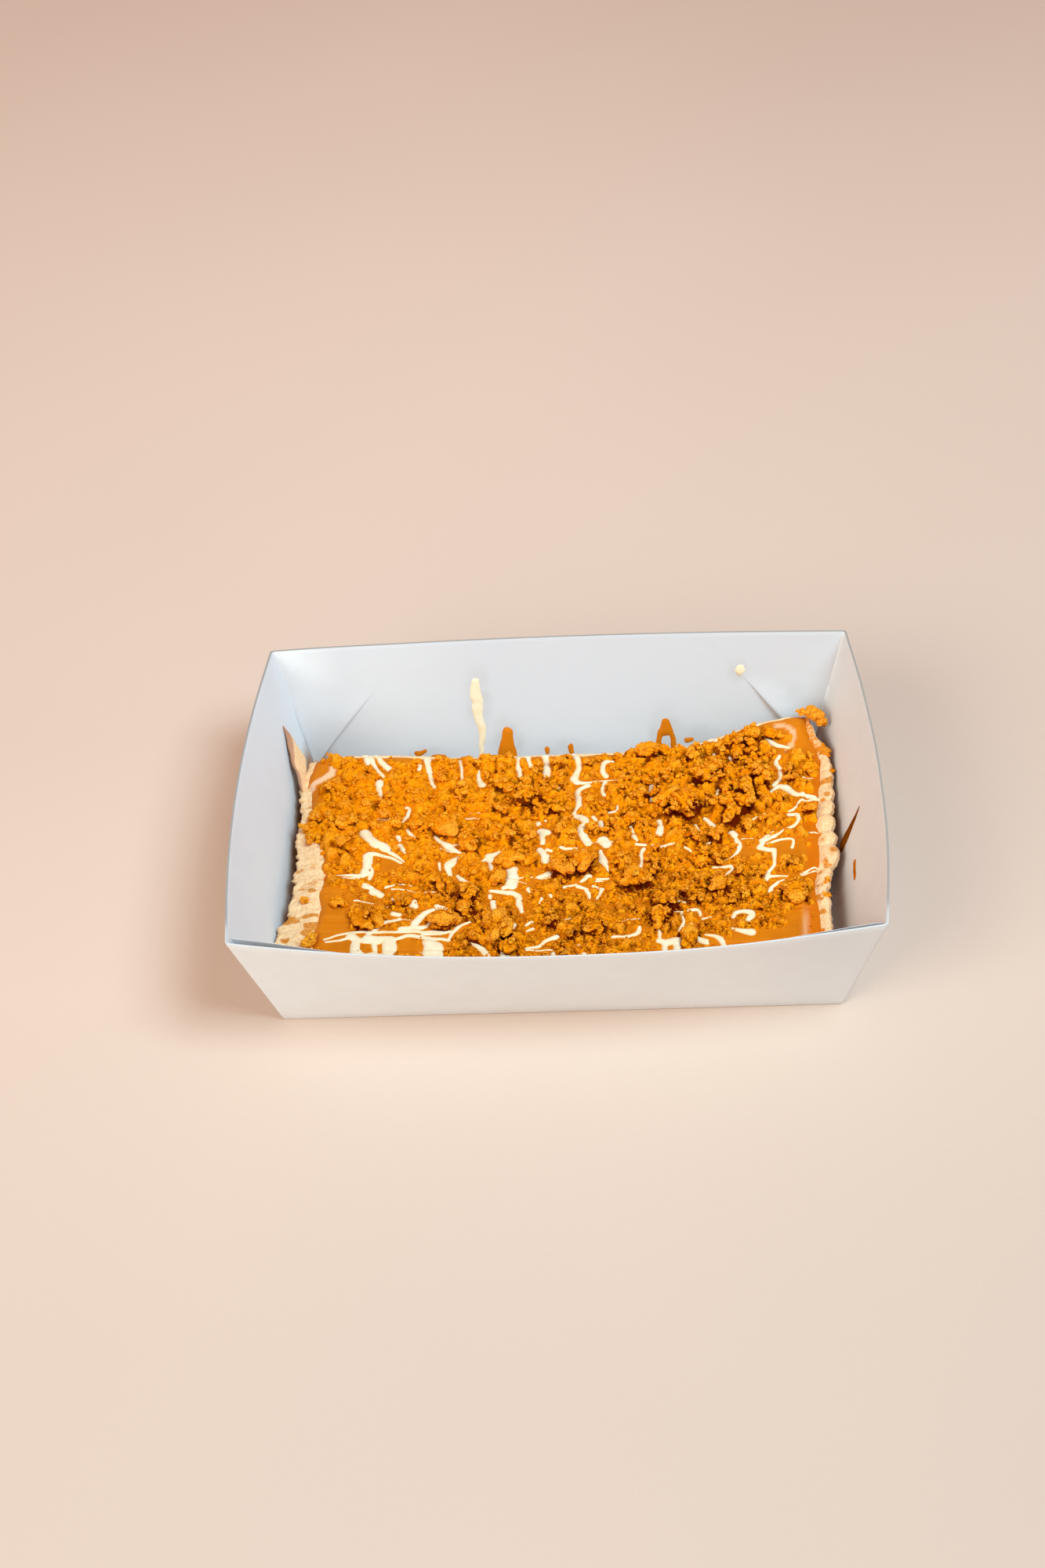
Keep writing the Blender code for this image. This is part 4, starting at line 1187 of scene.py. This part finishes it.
def build_drizzle(material):
    """The white chocolate, as one film whose outline follows the strokes."""
    step = 0.38 * MM
    x, y = np.meshgrid(np.arange(-88 * MM, 95 * MM, step), np.arange(-59.5 * MM, 53 * MM, step))
    height = drizzle_height(x, y)
    ground = spread_surface(x, y)
    top = np.maximum(ground + height, ground - 0.4 * MM)
    bottom = ground - 1.1 * MM
    thin = ease(0.22 * MM, 0.02 * MM, height)
    film_piece("white_chocolate_drizzle", x, y, top, bottom, cells_near(height > 0.0), material,
               {"thin": 0.8 * thin})


# Smears on the walls, as strokes in millimetres along the wall and up from the table
BACK_WALL_CARAMEL = [
    (1.6, 2.2, -18.9, 10.9, -19.3, 6, -19.4, 1.7), (1.45, 1.6, 37.1, 12.7, 37.0, 11.4, 36.9, 10.0),
    (1.1, 1.0, 35.3, 9.4, 34.5, 6.5, 34.1, 3.5), (1.0, 1.0, 38.7, 9.4, 39.5, 6.5, 39.9, 3.5),
    (1.0, 0.8, -51.5, 4.5, -49, 5), (0.8, 0.7, -46, 3, -42, 3), (0.8, 0.8, -5.2, 4.6, -5, 3),
    (0.9, 0.8, 3.2, 5.2, 3.4, 3), (0.9, 0.8, 44.5, 6, 46, 6.2),
]
BACK_WALL_CREAM = [
    (1.4, 1.4, -29.3, 29.2, -29.4, 26.5, -29.2, 23),
    (1.95, 0.35, -29.2, 23.5, -28.9, 17, -28.0, 12, -28.4, 7, -28.9, 3),
    (1.3, 1.0, 62.8, 30.7, 63.8, 31.1), (1.15, 1.0, 63.2, 30.2, 63.4, 31.8),
    (0.45, 0.5, 3.2, 4.9, 3.2, 4.2),
]
RIGHT_WALL_CARAMEL = [
    (0.30, 7.5, -1.3, 29.8, -2.0, 26, -2.7, 21.5, -2.9, 18),
    (1.2, 2.0, -2.3, 24, -2.8, 20.5, -3.2, 15), (1.0, 1.0, -18.6, 21.8, -22, 21.2, -25, 20.7),
]


def build_smear(name, wall, strokes, material, tone, strength=0.7, painted_shade=0.0, crown=0.16):
    """A thin film of spread or chocolate that slid down the inside of a wall."""
    step, room = 0.34, 7.0
    places = [place for stroke in strokes for place in stroke[2::2]]
    along, up = np.meshgrid(np.arange(min(places) - room, max(places) + room, step),
                            np.arange(1.2, 33.0, step))
    bead = stroke_bead(along + 0.25 * noise(along, up, 0.0, 2.2, 110),
                       up + 0.25 * noise(along, up, 0.5, 2.2, 111), strokes, crown, 0.22)
    s = up * MM / TRAY_HEIGHT
    half_length, half_width = half_sizes(s)
    half = half_width if wall == "right" else half_length
    t = along * MM / (half - BOARD)
    if wall == "back":
        s = s + SIDE_SAG * s * (1.0 - t * t) / TRAY_HEIGHT
    lift = MM * np.clip(bead, -0.3, 0.8)
    top = wall_points(wall, t, s, BOARD + np.maximum(lift, -0.25 * MM), BOARD)
    bottom = wall_points(wall, t, s, BOARD - 0.4 * MM, BOARD)
    keep = without_corner_touches(cells_near(bead > 0.0))
    quads = grid_quads(*along.shape)[keep.reshape(-1)]
    points, faces, used = slab(top.reshape(-1, 3), bottom.reshape(-1, 3), quads)
    edge = ease(0.16, 0.02, bead).reshape(-1)[used]
    # Painted shade on the smear, strongest on its spike
    painted_shade_amount = painted_shade * (0.25 + 0.75 * ease(-12.0, -8.0, along)).reshape(-1)[used]
    make_piece(name, points, faces, material,
               tones={tone: np.tile(strength * edge, 2), "painted_shade": np.tile(painted_shade_amount, 2)})


# ---- Biscuit crumbs ---------------------------------------------------------------------

# Places where the heap leaves the spread bare, in millimetres: x, y, half length along x,
# half length along y, and how bare
BARE_PATCHES = [
    (-73, -33, 7.5, 15, 1.0), (-56, -9.5, 5.5, 4, 1.0), (-83.5, 38, 6, 5.5, 1.0),
    (-80, 34, 5, 4.5, 1.0),
    (80, 50, 7, 5, 0.9), (66, -48, 20, 4.5, 1.0), (80, -5, 4.5, 11, 0.9), (-70.5, -47, 6, 5, 1.0),
    (-47, -48, 4.5, 5, 1.0), (-50.5, -23, 4, 2.4, 0.9), (76, -40, 4.5, 9, 1.0), (73, -8, 3, 5, 0.9),
    (-15, -17, 5, 7, 0.6), (-5, 0, 4, 9, 0.5), (9, 33, 5, 8, 0.5), (1, 6, 3, 6, 0.7),
    (26, -43, 5, 4, 0.4), (-20, -29, 7, 5, 0.45), (86, -20, 5, 40, 1.0), (-10, -15.5, 2.2, 5, 0.9),
    (77, 27, 6, 12, 0.45), (-57, -45, 9, 6, 0.8), (62, -5, 3.5, 9, 0.7), (66, 12, 5, 6, 0.3),
    (-37, -6, 5, 8, 0.35), (33, -50, 5, 6, 0.7), (48, -49, 6, 5, 0.6), (-68, -20, 8, 4, 0.5),
    (22, -6, 3, 3, 0.7), (75, 41.5, 6, 3, 1.0), (83.5, 43.5, 4.5, 8, 1.0),
    (6, -7, 3.5, 2, 0.7), (17, 24, 4, 6, 0.4), (-45, -40, 10, 3, 0.5),
]

# The crumbs that stand out, read off the photo in the same way, in millimetres: x, y, width
LARGEST_LUMPS = [
    (-62, -36, 8.5), (-37, -37, 8), (-19.5, -41.5, 9), (-29.5, -1, 8), (-11, 20, 8),
    (7, -13, 9), (-39, 7, 8.5), (42.5, 11.5, 10), (36, 16, 8), (30.5, 41, 7.5),
    (25, -21.5, 8.5), (34.5, -30.5, 9), (76, -28, 8),
]
LARGE_LUMPS = [
    (-66, -32, 6), (-25.5, -44, 6), (-29.5, -25, 7), (-20.5, -18, 6), (-17, -9, 6.5),
    (-10, -9.5, 6), (0.5, -15, 7), (-18.5, 25.5, 6), (-71.5, 10.5, 6), (-16, -50, 6.5),
    (-51, -27, 6),
    (-30.5, -31.5, 6), (35.5, 43, 6), (63, 19.5, 6), (62, 12.5, 6), (56.5, 6, 6), (73, 46, 6),
    (66.5, 45.5, 5.5), (32, -38.5, 7), (83, 9.5, 5), (68, 27, 6), (41, -46.5, 7), (11, -42.5, 6),
    (-72, -26, 5), (48, 27, 6.5), (24, 9, 6), (52, -24, 6.5), (2, 3, 5.5),
]
# Crumbs that fell past the spread, in millimetres: x, y, middle's height, width. A known fault:
# the three at the back right corner (x from 84 to 91, y from 51 to 55) hover 0.4 mm over the
# crepe. They touched it while the first of them was (88.0, 54.0, 22.6, 8.4).
STRAY_LUMPS = [
    (-80.3, -43.5, 17.6, 6.4), (-84.5, -49.5, 15.8, 3.2), (-83.5, -23.5, 16.6, 3.4),
    (-86.0, 11.0, 16.8, 3.6), (-82.8, 16.0, 17.2, 4.2), (-84.0, 4.5, 16.8, 3.0),
    (89.3, 53.8, 22.9, 8.0), (90.6, 51.0, 21.8, 4.6), (84.5, 55.0, 23.0, 4.2),
    (91.0, 37.5, 19.8, 4.2), (91.7, 29.5, 18.2, 3.2), (90.0, 40.5, 19.8, 2.8),
    (86.8, -22.0, 17.4, 2.0), (86.2, -28.8, 17.2, 2.2), (86.6, -50.0, 16.4, 2.0),
]


def crumb_cover(x, y):
    """How thickly the crumbs lie: 0 where the spread is bare and 1 in the thick of the heap."""
    over_border = 6 * MM * bump(10 * MM, 9 * MM, y) * ease(-60 * MM, -76 * MM, x)
    depth = spread_depth(x, y) + over_border
    cover = ease(0.6 * MM, 4.5 * MM, depth + 1.8 * MM * noise(x, y, 0.0, 5 * MM, 120))
    margin = 1.1 * MM * (1.0 - bump(38 * MM, 20 * MM, x))
    cover = cover * ease(1.6 * MM + margin, 3.4 * MM + 1.7 * margin, back_edge(x) - y)
    for *spot, strength in BARE_PATCHES:
        cover = cover * (1.0 - strength * ease(1.5, 0.45, from_spot(x, y, *spot)))
    drifts = 1.05 + 0.32 * noise(x, y, 0.0, 10 * MM, 121) + 0.22 * noise(x, y, 0.0, 4 * MM, 122)
    return unit(cover * np.clip(drifts, 0.3, 1.0))


def coarseness(x, y):
    """How large the lumps are: largest at the back and right, least at the front."""
    back = ease(-25 * MM, 15 * MM, y)
    right = ease(-20 * MM, 40 * MM, x)
    return 0.35 + 0.45 * back + 0.20 * back * right


class Heap:
    """The height of everything that lies on the spread, on a grid, as the crumbs pile up."""

    def __init__(self, step):
        self.step = step
        self.x_low = -89 * MM
        self.y_low = -61 * MM
        self.x, self.y = np.meshgrid(np.arange(self.x_low, 93 * MM, step),
                                     np.arange(self.y_low, 61 * MM, step))
        drizzle = drizzle_height(self.x, self.y)
        self.ground = spread_surface(self.x, self.y) + np.maximum(drizzle, 0.0)
        self.pile = np.zeros(self.x.shape)
        self.cover = crumb_cover(self.x, self.y)
        self.room = self.distance_to(drizzle > 0.10 * MM, 4.5 * MM)

    def distance_to(self, mask, limit):
        """How far each place is from the mask, up to a limit."""
        distance = np.where(mask, 0.0, limit)
        for _ in range(int(limit / self.step) + 1):
            padded = np.pad(distance, 1, mode="edge")
            near = np.minimum.reduce([padded[1:-1, :-2], padded[1:-1, 2:],
                                      padded[:-2, 1:-1], padded[2:, 1:-1]])
            corner = np.minimum.reduce([padded[:-2, :-2], padded[:-2, 2:],
                                        padded[2:, :-2], padded[2:, 2:]])
            distance = np.minimum(distance, np.minimum(near + self.step, corner + 1.41 * self.step))
        return distance

    def find_level(self):
        """The heap's surface, evened out over a couple of millimetres."""
        level = self.ground + self.pile
        for _ in range(16):
            padded = np.pad(level, 1, mode="edge")
            level = (padded[:-2, 1:-1] + padded[2:, 1:-1]
                     + padded[1:-1, :-2] + padded[1:-1, 2:]) / 4.0
        self.level = level

    def light_on(self, points, allowance=0.0):
        """Painted shade: how far a place is shut in by what stands higher than the allowance
        round it. Painted light: how far it stands out itself."""
        x, y, z = points.T
        surface = self.ground + self.pile
        shut = np.zeros(len(points))
        for turn in np.arange(8) * math.pi / 4.0:
            steepest = np.zeros(len(points))
            for reach in (0.8 * MM, 1.6 * MM, 2.8 * MM):
                row, column = self.index(x + reach * math.cos(turn), y + reach * math.sin(turn))
                rise = surface[row, column] - z - allowance
                steepest = np.maximum(steepest, rise / reach)
            shut += steepest / np.sqrt(1.0 + steepest ** 2) / 8.0
        row, column = self.index(x, y)

        # The back left lies open to the light, and the front shows its gaps the most
        open_left = ease(0.0, -45 * MM, x) * ease(-30 * MM, -5 * MM, y)
        front = ease(0.0, -35 * MM, y)
        low = 0.33 + 0.14 * open_left - 0.07 * front
        shade = (1.0 - 0.30 * open_left) * ease(low, low + 0.34 - 0.06 * front, shut)
        return shade, ease(0.0, 1.5 * MM, z - self.level[row, column])

    def index(self, x, y):
        """The row and the column of the grid point nearest to a place."""
        column = np.clip(np.rint((x - self.x_low) / self.step).astype(int), 0, self.x.shape[1] - 1)
        row = np.clip(np.rint((y - self.y_low) / self.step).astype(int), 0, self.x.shape[0] - 1)
        return row, column

    def window(self, x, y, radius):
        """The rows and the columns round a place, out to a radius."""
        row, column = self.index(np.array(x), np.array(y))
        span = int(radius / self.step) + 2
        rows = slice(max(0, int(row) - span), int(row) + span + 1)
        columns = slice(max(0, int(column) - span), int(column) + span + 1)
        return rows, columns

    def scatter(self, rng, count, weight, radius):
        """Places for crumbs of about one radius, more of them where the weight is high. They
        keep off the drizzle, and off what lies just in front of it."""
        shift = int(round(0.7 * radius / self.step))
        ahead = np.pad(self.room, ((0, shift), (0, 0)), mode="edge")[shift:]
        free = ease(0.30 * radius, 0.95 * radius, np.minimum(self.room, ahead))
        chance = (weight * self.cover * (0.02 + 0.98 * free)).reshape(-1)
        chosen = rng.choice(chance.size, size=count, p=chance / chance.sum())
        x = self.x.reshape(-1)[chosen] + rng.uniform(-0.5, 0.5, count) * self.step
        y = self.y.reshape(-1)[chosen] + rng.uniform(-0.5, 0.5, count) * self.step
        return x, y

    def settle(self, x, y, radius, thickness, sink):
        """Drops a rounded lump onto the heap. Gives the height of its middle."""
        rows, columns = self.window(x, y, radius)
        away = ((self.x[rows, columns] - x) ** 2 + (self.y[rows, columns] - y) ** 2) / radius ** 2
        under = away <= max(0.5, away.min())
        support = np.percentile((self.ground + self.pile)[rows, columns][under], 50)
        middle = support + thickness * (1.0 - sink)
        dome = middle + thickness * np.sqrt(unit(1.0 - away)) * 0.85
        rise = dome - self.ground[rows, columns]
        raised = np.where(away < 1.0, rise, 0.0)
        self.pile[rows, columns] = np.maximum(self.pile[rows, columns], raised)
        return middle


def ball(subdivisions):
    """The points and triangles of a ball of radius 1."""
    builder = bmesh.new()
    bmesh.ops.create_icosphere(builder, subdivisions=subdivisions, radius=1.0)
    points = np.array([vertex.co[:] for vertex in builder.verts])
    faces = np.array([[vertex.index for vertex in face.verts] for face in builder.faces])
    builder.free()
    return points, faces


def facings(rng, count):
    """Random directions of length 1."""
    directions = rng.normal(size=(count, 3))
    return directions / np.linalg.norm(directions, axis=1, keepdims=True)


def broken_lumps(rng, radii, subdivisions, chunks, grain):
    """Crumbs as numbers of points around 0. Each is a small core with chunks grown onto it that
    have flat broken faces, under a skin of grains. Also gives how deep its creases are."""
    directions, faces = ball(subdivisions)
    count = len(radii)
    reach = np.zeros((count, len(directions)))
    for part in range(chunks + 1):
        size = rng.uniform(0.32, 0.60, count) if part else rng.uniform(0.66, 0.82, count)
        offset = rng.uniform(0.36, 0.70, (count, 1)) if part else np.full((count, 1), 0.08)
        middle = facings(rng, count) * offset
        middle[:, 2] *= 0.7
        along = middle @ directions.T
        inside = size[:, None] ** 2 - (middle ** 2).sum(1)[:, None] + along ** 2
        chunk = np.where(inside > 0.0, along + np.sqrt(np.clip(inside, 0.0, None)), 0.0)
        for _ in range(6):
            facing = facings(rng, count)
            height = size * rng.uniform(0.35, 0.85, count) + (facing * middle).sum(1)
            towards = facing @ directions.T
            limit = np.clip(height, 0.08, None)[:, None] / np.clip(towards, 0.05, None)
            chunk = np.where(towards > 0.05, np.minimum(chunk, limit), chunk)
        reach = np.maximum(reach, chunk)
    reach = np.clip(reach, 0.50, 1.25)
    around = neighbours(faces, len(directions))
    smoothed = reach
    for _ in range(2 ** max(subdivisions - 2, 0)):
        smoothed = smoothed[:, around].mean(-1)
    crease = ease(0.0, 0.14, smoothed - reach)
    shape = reach[..., None] * directions
    shape *= np.stack([rng.uniform(0.95, 1.35, count), rng.uniform(0.72, 1.0, count),
                       rng.uniform(0.60, 0.86, count)], -1)[:, None, :]
    turn = rng.uniform(0.0, 2.0 * math.pi, (count, 1))
    shape = np.stack([shape[..., 0] * np.cos(turn) - shape[..., 1] * np.sin(turn),
                      shape[..., 0] * np.sin(turn) + shape[..., 1] * np.cos(turn),
                      shape[..., 2]], -1)
    body = shape * np.asarray(radii)[:, None, None]
    home = np.arange(count)[:, None] * 0.0131
    x, y, z = body[..., 0] + home, body[..., 1] - home, body[..., 2]
    grains = granules(x, y, z, 0.78 * MM, 131)
    skin = 1.5 * grain * (grains - 0.40) + 0.4 * grain * noise(x, y, z, 0.5 * MM, 132)
    body = body + shape / np.linalg.norm(shape, axis=-1, keepdims=True) * skin[..., None]
    if grain > 0.0:
        crease = crease + 1.9 * np.clip(0.42 - grains, 0.0, 0.5)
    return body, faces, unit(crease)


def neighbours(faces, count):
    """For each point of a ball, the six points round it (one of them twice where it has five)."""
    around = [[] for _ in range(count)]
    for a, b, c in faces.tolist():
        around[a].append(b)
        around[b].append(c)
        around[c].append(a)
    return np.array([(ring * 2)[:6] for ring in around])


def join_lumps(name, kind, heap, material, rng, smooth=True):
    """One mesh of many crumbs, each moved to its place, with painted shade where it lies deep in
    the heap.
    """
    (body, faces, crease), places = kind
    count, size, _ = body.shape
    points = (body + places[:, None, :]).reshape(-1, 3)
    own_dips = 0.35 * body[..., 2].max(1, keepdims=True) * np.ones((1, size))
    low = body[..., 2].min(1, keepdims=True)
    high = body[..., 2].max(1, keepdims=True)
    underside = ease(0.45, 0.0, (body[..., 2] - low) / (high - low))
    shade, pale = heap.light_on(points, own_dips.reshape(-1))
    # Painted shade on the undersides and in the creases, stronger towards the diner
    crease_shade_strength = 0.40 + 0.45 * ease(0.0, -35 * MM, points[:, 1])
    shade = over(over(shade, 0.35 * underside.reshape(-1)), crease_shade_strength * crease.reshape(-1))
    tone = np.repeat(rng.normal(0.0, 0.8, count), size)
    all_faces = (faces[None] + np.arange(count)[:, None, None] * size).reshape(-1, 3)
    return make_piece(name, points, all_faces, material, smooth=smooth,
                      sharp_angle=50.0 if smooth else None,
                      tones={"shade": shade, "pale": pale, "tone": tone})


def press_clump(heap, rng, x, y, radius):
    """Adds one angular clump to the bed: a rough many-sided block with steep sides."""
    rows, columns = heap.window(x, y, 1.3 * radius)
    dx = heap.x[rows, columns] - x
    dy = heap.y[rows, columns] - y
    away = np.hypot(dx, dy) / (1.12 * radius)
    for turn in rng.uniform(0.0, 2.0 * math.pi, 6):
        side = radius * rng.uniform(0.62, 1.0)
        away = np.maximum(away, (dx * math.cos(turn) + dy * math.sin(turn)) / side)
    away = away + 0.10 * noise(dx, dy, radius, 0.8 * MM, 140)
    pile = heap.pile[rows, columns]
    inside = away < 1.0
    if not inside.any():
        return
    tilt = dx * rng.normal(0.0, 0.26) + dy * rng.normal(0.0, 0.26)
    support = 0.50 * pile[away < 0.7].mean() if (away < 0.7).any() else 0.0
    height = radius * rng.uniform(0.55, 0.90) * unit((1.0 - away) / 0.34) ** 0.6
    block = support + height + np.clip(tilt, -0.5 * height, 0.5 * height)
    pile[inside] = np.maximum(pile, np.minimum(block, 3.6 * MM))[inside]


def pack_bed(heap, rng):
    """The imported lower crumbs: clumps pressed into one another, as relief on one core."""
    coarse = coarseness(heap.x, heap.y)
    for low, high, count in ((1.9, 3.1, 380), (1.2, 1.9, 1250), (0.65, 1.2, 4000)):
        weight = coarse ** 1.4 if low > 1.5 else 0.5 + 0.5 * coarse
        radii = np.sort(rng.uniform(low, high, count))[::-1] * MM
        x, y = heap.scatter(rng, count, weight, 0.5 * (low + high) * MM)
        for k in range(count):
            press_clump(heap, rng, x[k], y[k], radii[k])
    grainy = 0.42 * MM * granules(heap.x, heap.y, 2.0 * heap.pile, 0.85 * MM, 141)
    grainy += 0.14 * MM * noise(heap.x, heap.y, heap.pile, 0.5 * MM, 142)
    heap.pile *= ease(0.0, 0.5 * MM, heap.room) * (0.5 + 0.5 * ease(0.4 * MM, 2.4 * MM, heap.room))
    solid = heap.pile > 0.22 * MM
    heap.pile = np.where(solid, heap.pile + grainy - 0.15 * MM, 0.0)
    return solid


def build_bed(heap, pile, solid, material):
    """The film of packed crumbs under the loose ones, which stands for the CAD's heap."""
    top = np.where(solid, heap.ground + pile, heap.ground - 0.35 * MM)
    bottom = heap.ground - 1.2 * MM
    tone = 0.9 * noise(heap.x, heap.y, 0.0, 2.6 * MM, 143)
    points = np.stack([heap.x, heap.y, heap.ground + pile], -1).reshape(-1, 3)
    # Painted shade where the bed is shut in and between its granules, painted light where it stands
    # out
    shade, pale = [value.reshape(heap.x.shape) for value in heap.light_on(points)]
    crease = np.clip(0.44 - granules(heap.x, heap.y, 2.0 * pile, 0.85 * MM, 141), 0.0, 0.5)
    front = ease(5 * MM, -35 * MM, heap.y)
    shade = over(shade, (0.55 + 0.85 * front) * crease)
    bed = film_piece("crumb_bed", heap.x, heap.y, top, bottom, cells_near(solid), material,
                     {"shade": shade, "pale": pale, "tone": tone})
    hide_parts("biscuit_crumbs")


def place_lumps(heap, rng, radii, weight, sink):
    """Positions for crumbs, dropped onto the heap from the largest to the smallest."""
    radii = np.sort(radii)[::-1]
    x, y = heap.scatter(rng, len(radii), weight, radii.mean())
    places = [(a, b, heap.settle(a, b, 0.85 * r, 0.66 * r, sink)) for a, b, r in zip(x, y, radii)]
    return radii, np.array(places)


def settled(heap, lumps, sink):
    """Radii and places of the lumps in a list, each settled on the heap."""
    table = np.array(lumps) * MM
    radii = 0.60 * table[:, 2]
    places = [(x, y, heap.settle(x, y, 0.85 * r, 0.62 * r, sink))
              for (x, y, _), r in zip(table, radii)]
    return radii, np.array(places)


def build_crumbs(material):
    """Packs the bed, drops the lumps onto it from the largest to the smallest, then the grains."""
    rng = np.random.default_rng(SEED + 1)
    heap = Heap(0.50 * MM)
    solid = pack_bed(heap, rng)
    bed_pile = heap.pile.copy()
    coarse = coarseness(heap.x, heap.y)
    kinds = {}

    radii, places = settled(heap, LARGEST_LUMPS, 0.50)
    kinds["crumb_lumps_largest"] = (broken_lumps(rng, radii, 5, 9, 0.36 * MM), places)

    radii, places = settled(heap, LARGE_LUMPS, 0.50)
    strays = np.array(STRAY_LUMPS) * MM
    more_radii = (1.7 + 1.4 * rng.beta(1.2, 2.2, 66)) * MM
    more_radii, more_places = place_lumps(heap, rng, more_radii, coarse ** 1.4, 0.50)
    radii = np.concatenate([radii, 0.58 * strays[:, 3], more_radii])
    places = np.concatenate([places, strays[:, :3], more_places])
    kinds["crumb_lumps_large"] = (broken_lumps(rng, radii, 4, 7, 0.34 * MM), places)

    for name, count, (low, high), fineness, chunks, grain, weight, sink in (
            ("crumb_lumps_medium", 430, (1.0, 1.8), 3, 5, 0.30, 0.30 + coarse, 0.45),
            ("crumb_lumps_small", 1300, (0.55, 1.0), 2, 3, 0.12, 0.6 + 0.4 * coarse, 0.35)):
        radii = (low + (high - low) * rng.beta(1.0, 1.8, count)) * MM
        radii, places = place_lumps(heap, rng, radii, weight, sink)
        kinds[name] = (broken_lumps(rng, radii, fineness, chunks, grain * MM), places)

    # Loose grains: most lie in the heap's thin places and towards the diner
    count = 6600
    thin = 0.35 + 0.9 * ease(1.0, 0.3, heap.cover) + 1.7 * ease(10 * MM, -30 * MM, heap.y)
    x, y = heap.scatter(rng, count, thin, 0.4 * MM)
    radii = rng.uniform(0.28, 0.60, count) * MM
    row, column = heap.index(x, y)
    z = (heap.ground + heap.pile)[row, column] + 0.40 * radii
    kinds["crumb_grains"] = (broken_lumps(rng, radii, 1, 1, 0.0), np.stack([x, y, z], -1))

    heap.find_level()
    build_bed(heap, bed_pile, solid, material)
    for name, kind in kinds.items():
        join_lumps(name, kind, heap, material, rng, smooth=name != "crumb_grains")


# ---- Stage ------------------------------------------------------------------------------

def build_stage():
    """A wide flat floor."""
    half = 3.0
    mesh = bpy.data.meshes.new("floor")
    corners = [(-half, -half, 0.0), (half, -half, 0.0), (half, half, 0.0), (-half, half, 0.0)]
    mesh.from_pydata(corners, [], [(0, 1, 2, 3)])
    mesh.materials.append(floor_finish())
    add_object("floor", mesh)


def area_light(name, place, target, size, power, colour):
    """A soft rectangular lamp that points at its target."""
    light = bpy.data.lights.new(name, "AREA")
    light.shape = "RECTANGLE"
    light.size, light.size_y = size
    light.energy = power
    light.color = colour
    lamp = add_object(name, light)
    lamp.location = place
    lamp.rotation_euler = (Vector(target) - Vector(place)).to_track_quat("-Z", "Y").to_euler()


def build_lights():
    """A high soft key on the right of the diner, a wide fill on the left, a weak one in front
    and a warm room."""
    area_light("key", (0.65, -0.375, 1.30), (0.0, 0.0, 0.0), (0.7, 0.7), 22.3, (0.62, 0.885, 1.0))
    area_light("left_fill", (-1.0, -1.0, 1.0), (0.0, 0.0, 0.0), (1.0, 1.0), 16.6, (0.95, 1.0, 0.90))
    area_light("front_fill", (0.0, -1.6, 0.7), (0.0, 0.0, 0.0), (1.6, 1.0), 2.2, (1.0, 1.0, 1.0))
    world = bpy.data.worlds.new("studio")
    world.use_nodes = True
    background = world.node_tree.nodes["Background"]
    background.inputs["Color"].default_value = (1.0, 0.58, 0.45, 1.0)
    background.inputs["Strength"].default_value = 0.48
    bpy.context.scene.world = world
    bpy.context.scene.view_settings.view_transform = "Standard"


def build_camera():
    """A long lens from the diner's side, a little to the right, looking down at 42 degrees."""
    elevation = math.radians(41.94)
    yaw = math.radians(3.886)
    roll = math.radians(-4.471)
    target = Vector((-0.0126, 0.0260, 0.0200))
    distance = 0.77738
    back = Vector((math.sin(yaw) * math.cos(elevation), -math.cos(yaw) * math.cos(elevation),
                   math.sin(elevation)))
    level = Vector((0.0, 0.0, 1.0)).cross(back).normalized()
    upright = back.cross(level)
    right = math.cos(roll) * level + math.sin(roll) * upright
    up = math.cos(roll) * upright - math.sin(roll) * level
    camera_data = bpy.data.cameras.new("camera")
    camera_data.sensor_width = 36.0
    camera_data.lens = 52.48
    camera_data.clip_start = 0.01
    camera = add_object("camera", camera_data)
    turned = Matrix((right, up, back)).transposed().to_4x4()
    camera.matrix_world = Matrix.Translation(target + back * distance) @ turned
    bpy.context.scene.camera = camera


# ---- Everything -------------------------------------------------------------------------

def main():
    board = paperboard_finish()
    dough = dough_finish()
    caramel = caramel_finish()
    white = white_chocolate_finish()
    build_tray(board)
    build_gussets(board)
    build_crepe(dough)
    build_curl(dough)
    build_spread(caramel)
    build_drizzle(white)
    build_smear("caramel_on_back_wall", "back", BACK_WALL_CARAMEL, caramel,
                "deep")
    build_smear("cream_on_back_wall", "back", BACK_WALL_CREAM, white,
                "thin", 0.2)
    # A gloss-free copy of the caramel for the smear on the right wall, which lies in shade
    caramel_in_shade = caramel_finish("caramel_painted_shade", 0.0)
    build_smear("caramel_on_right_wall", "right", RIGHT_WALL_CARAMEL, caramel_in_shade,
                "deep", painted_shade=0.92)
    build_crumbs(biscuit_finish())
    build_stage()
    build_lights()
    build_camera()


main()
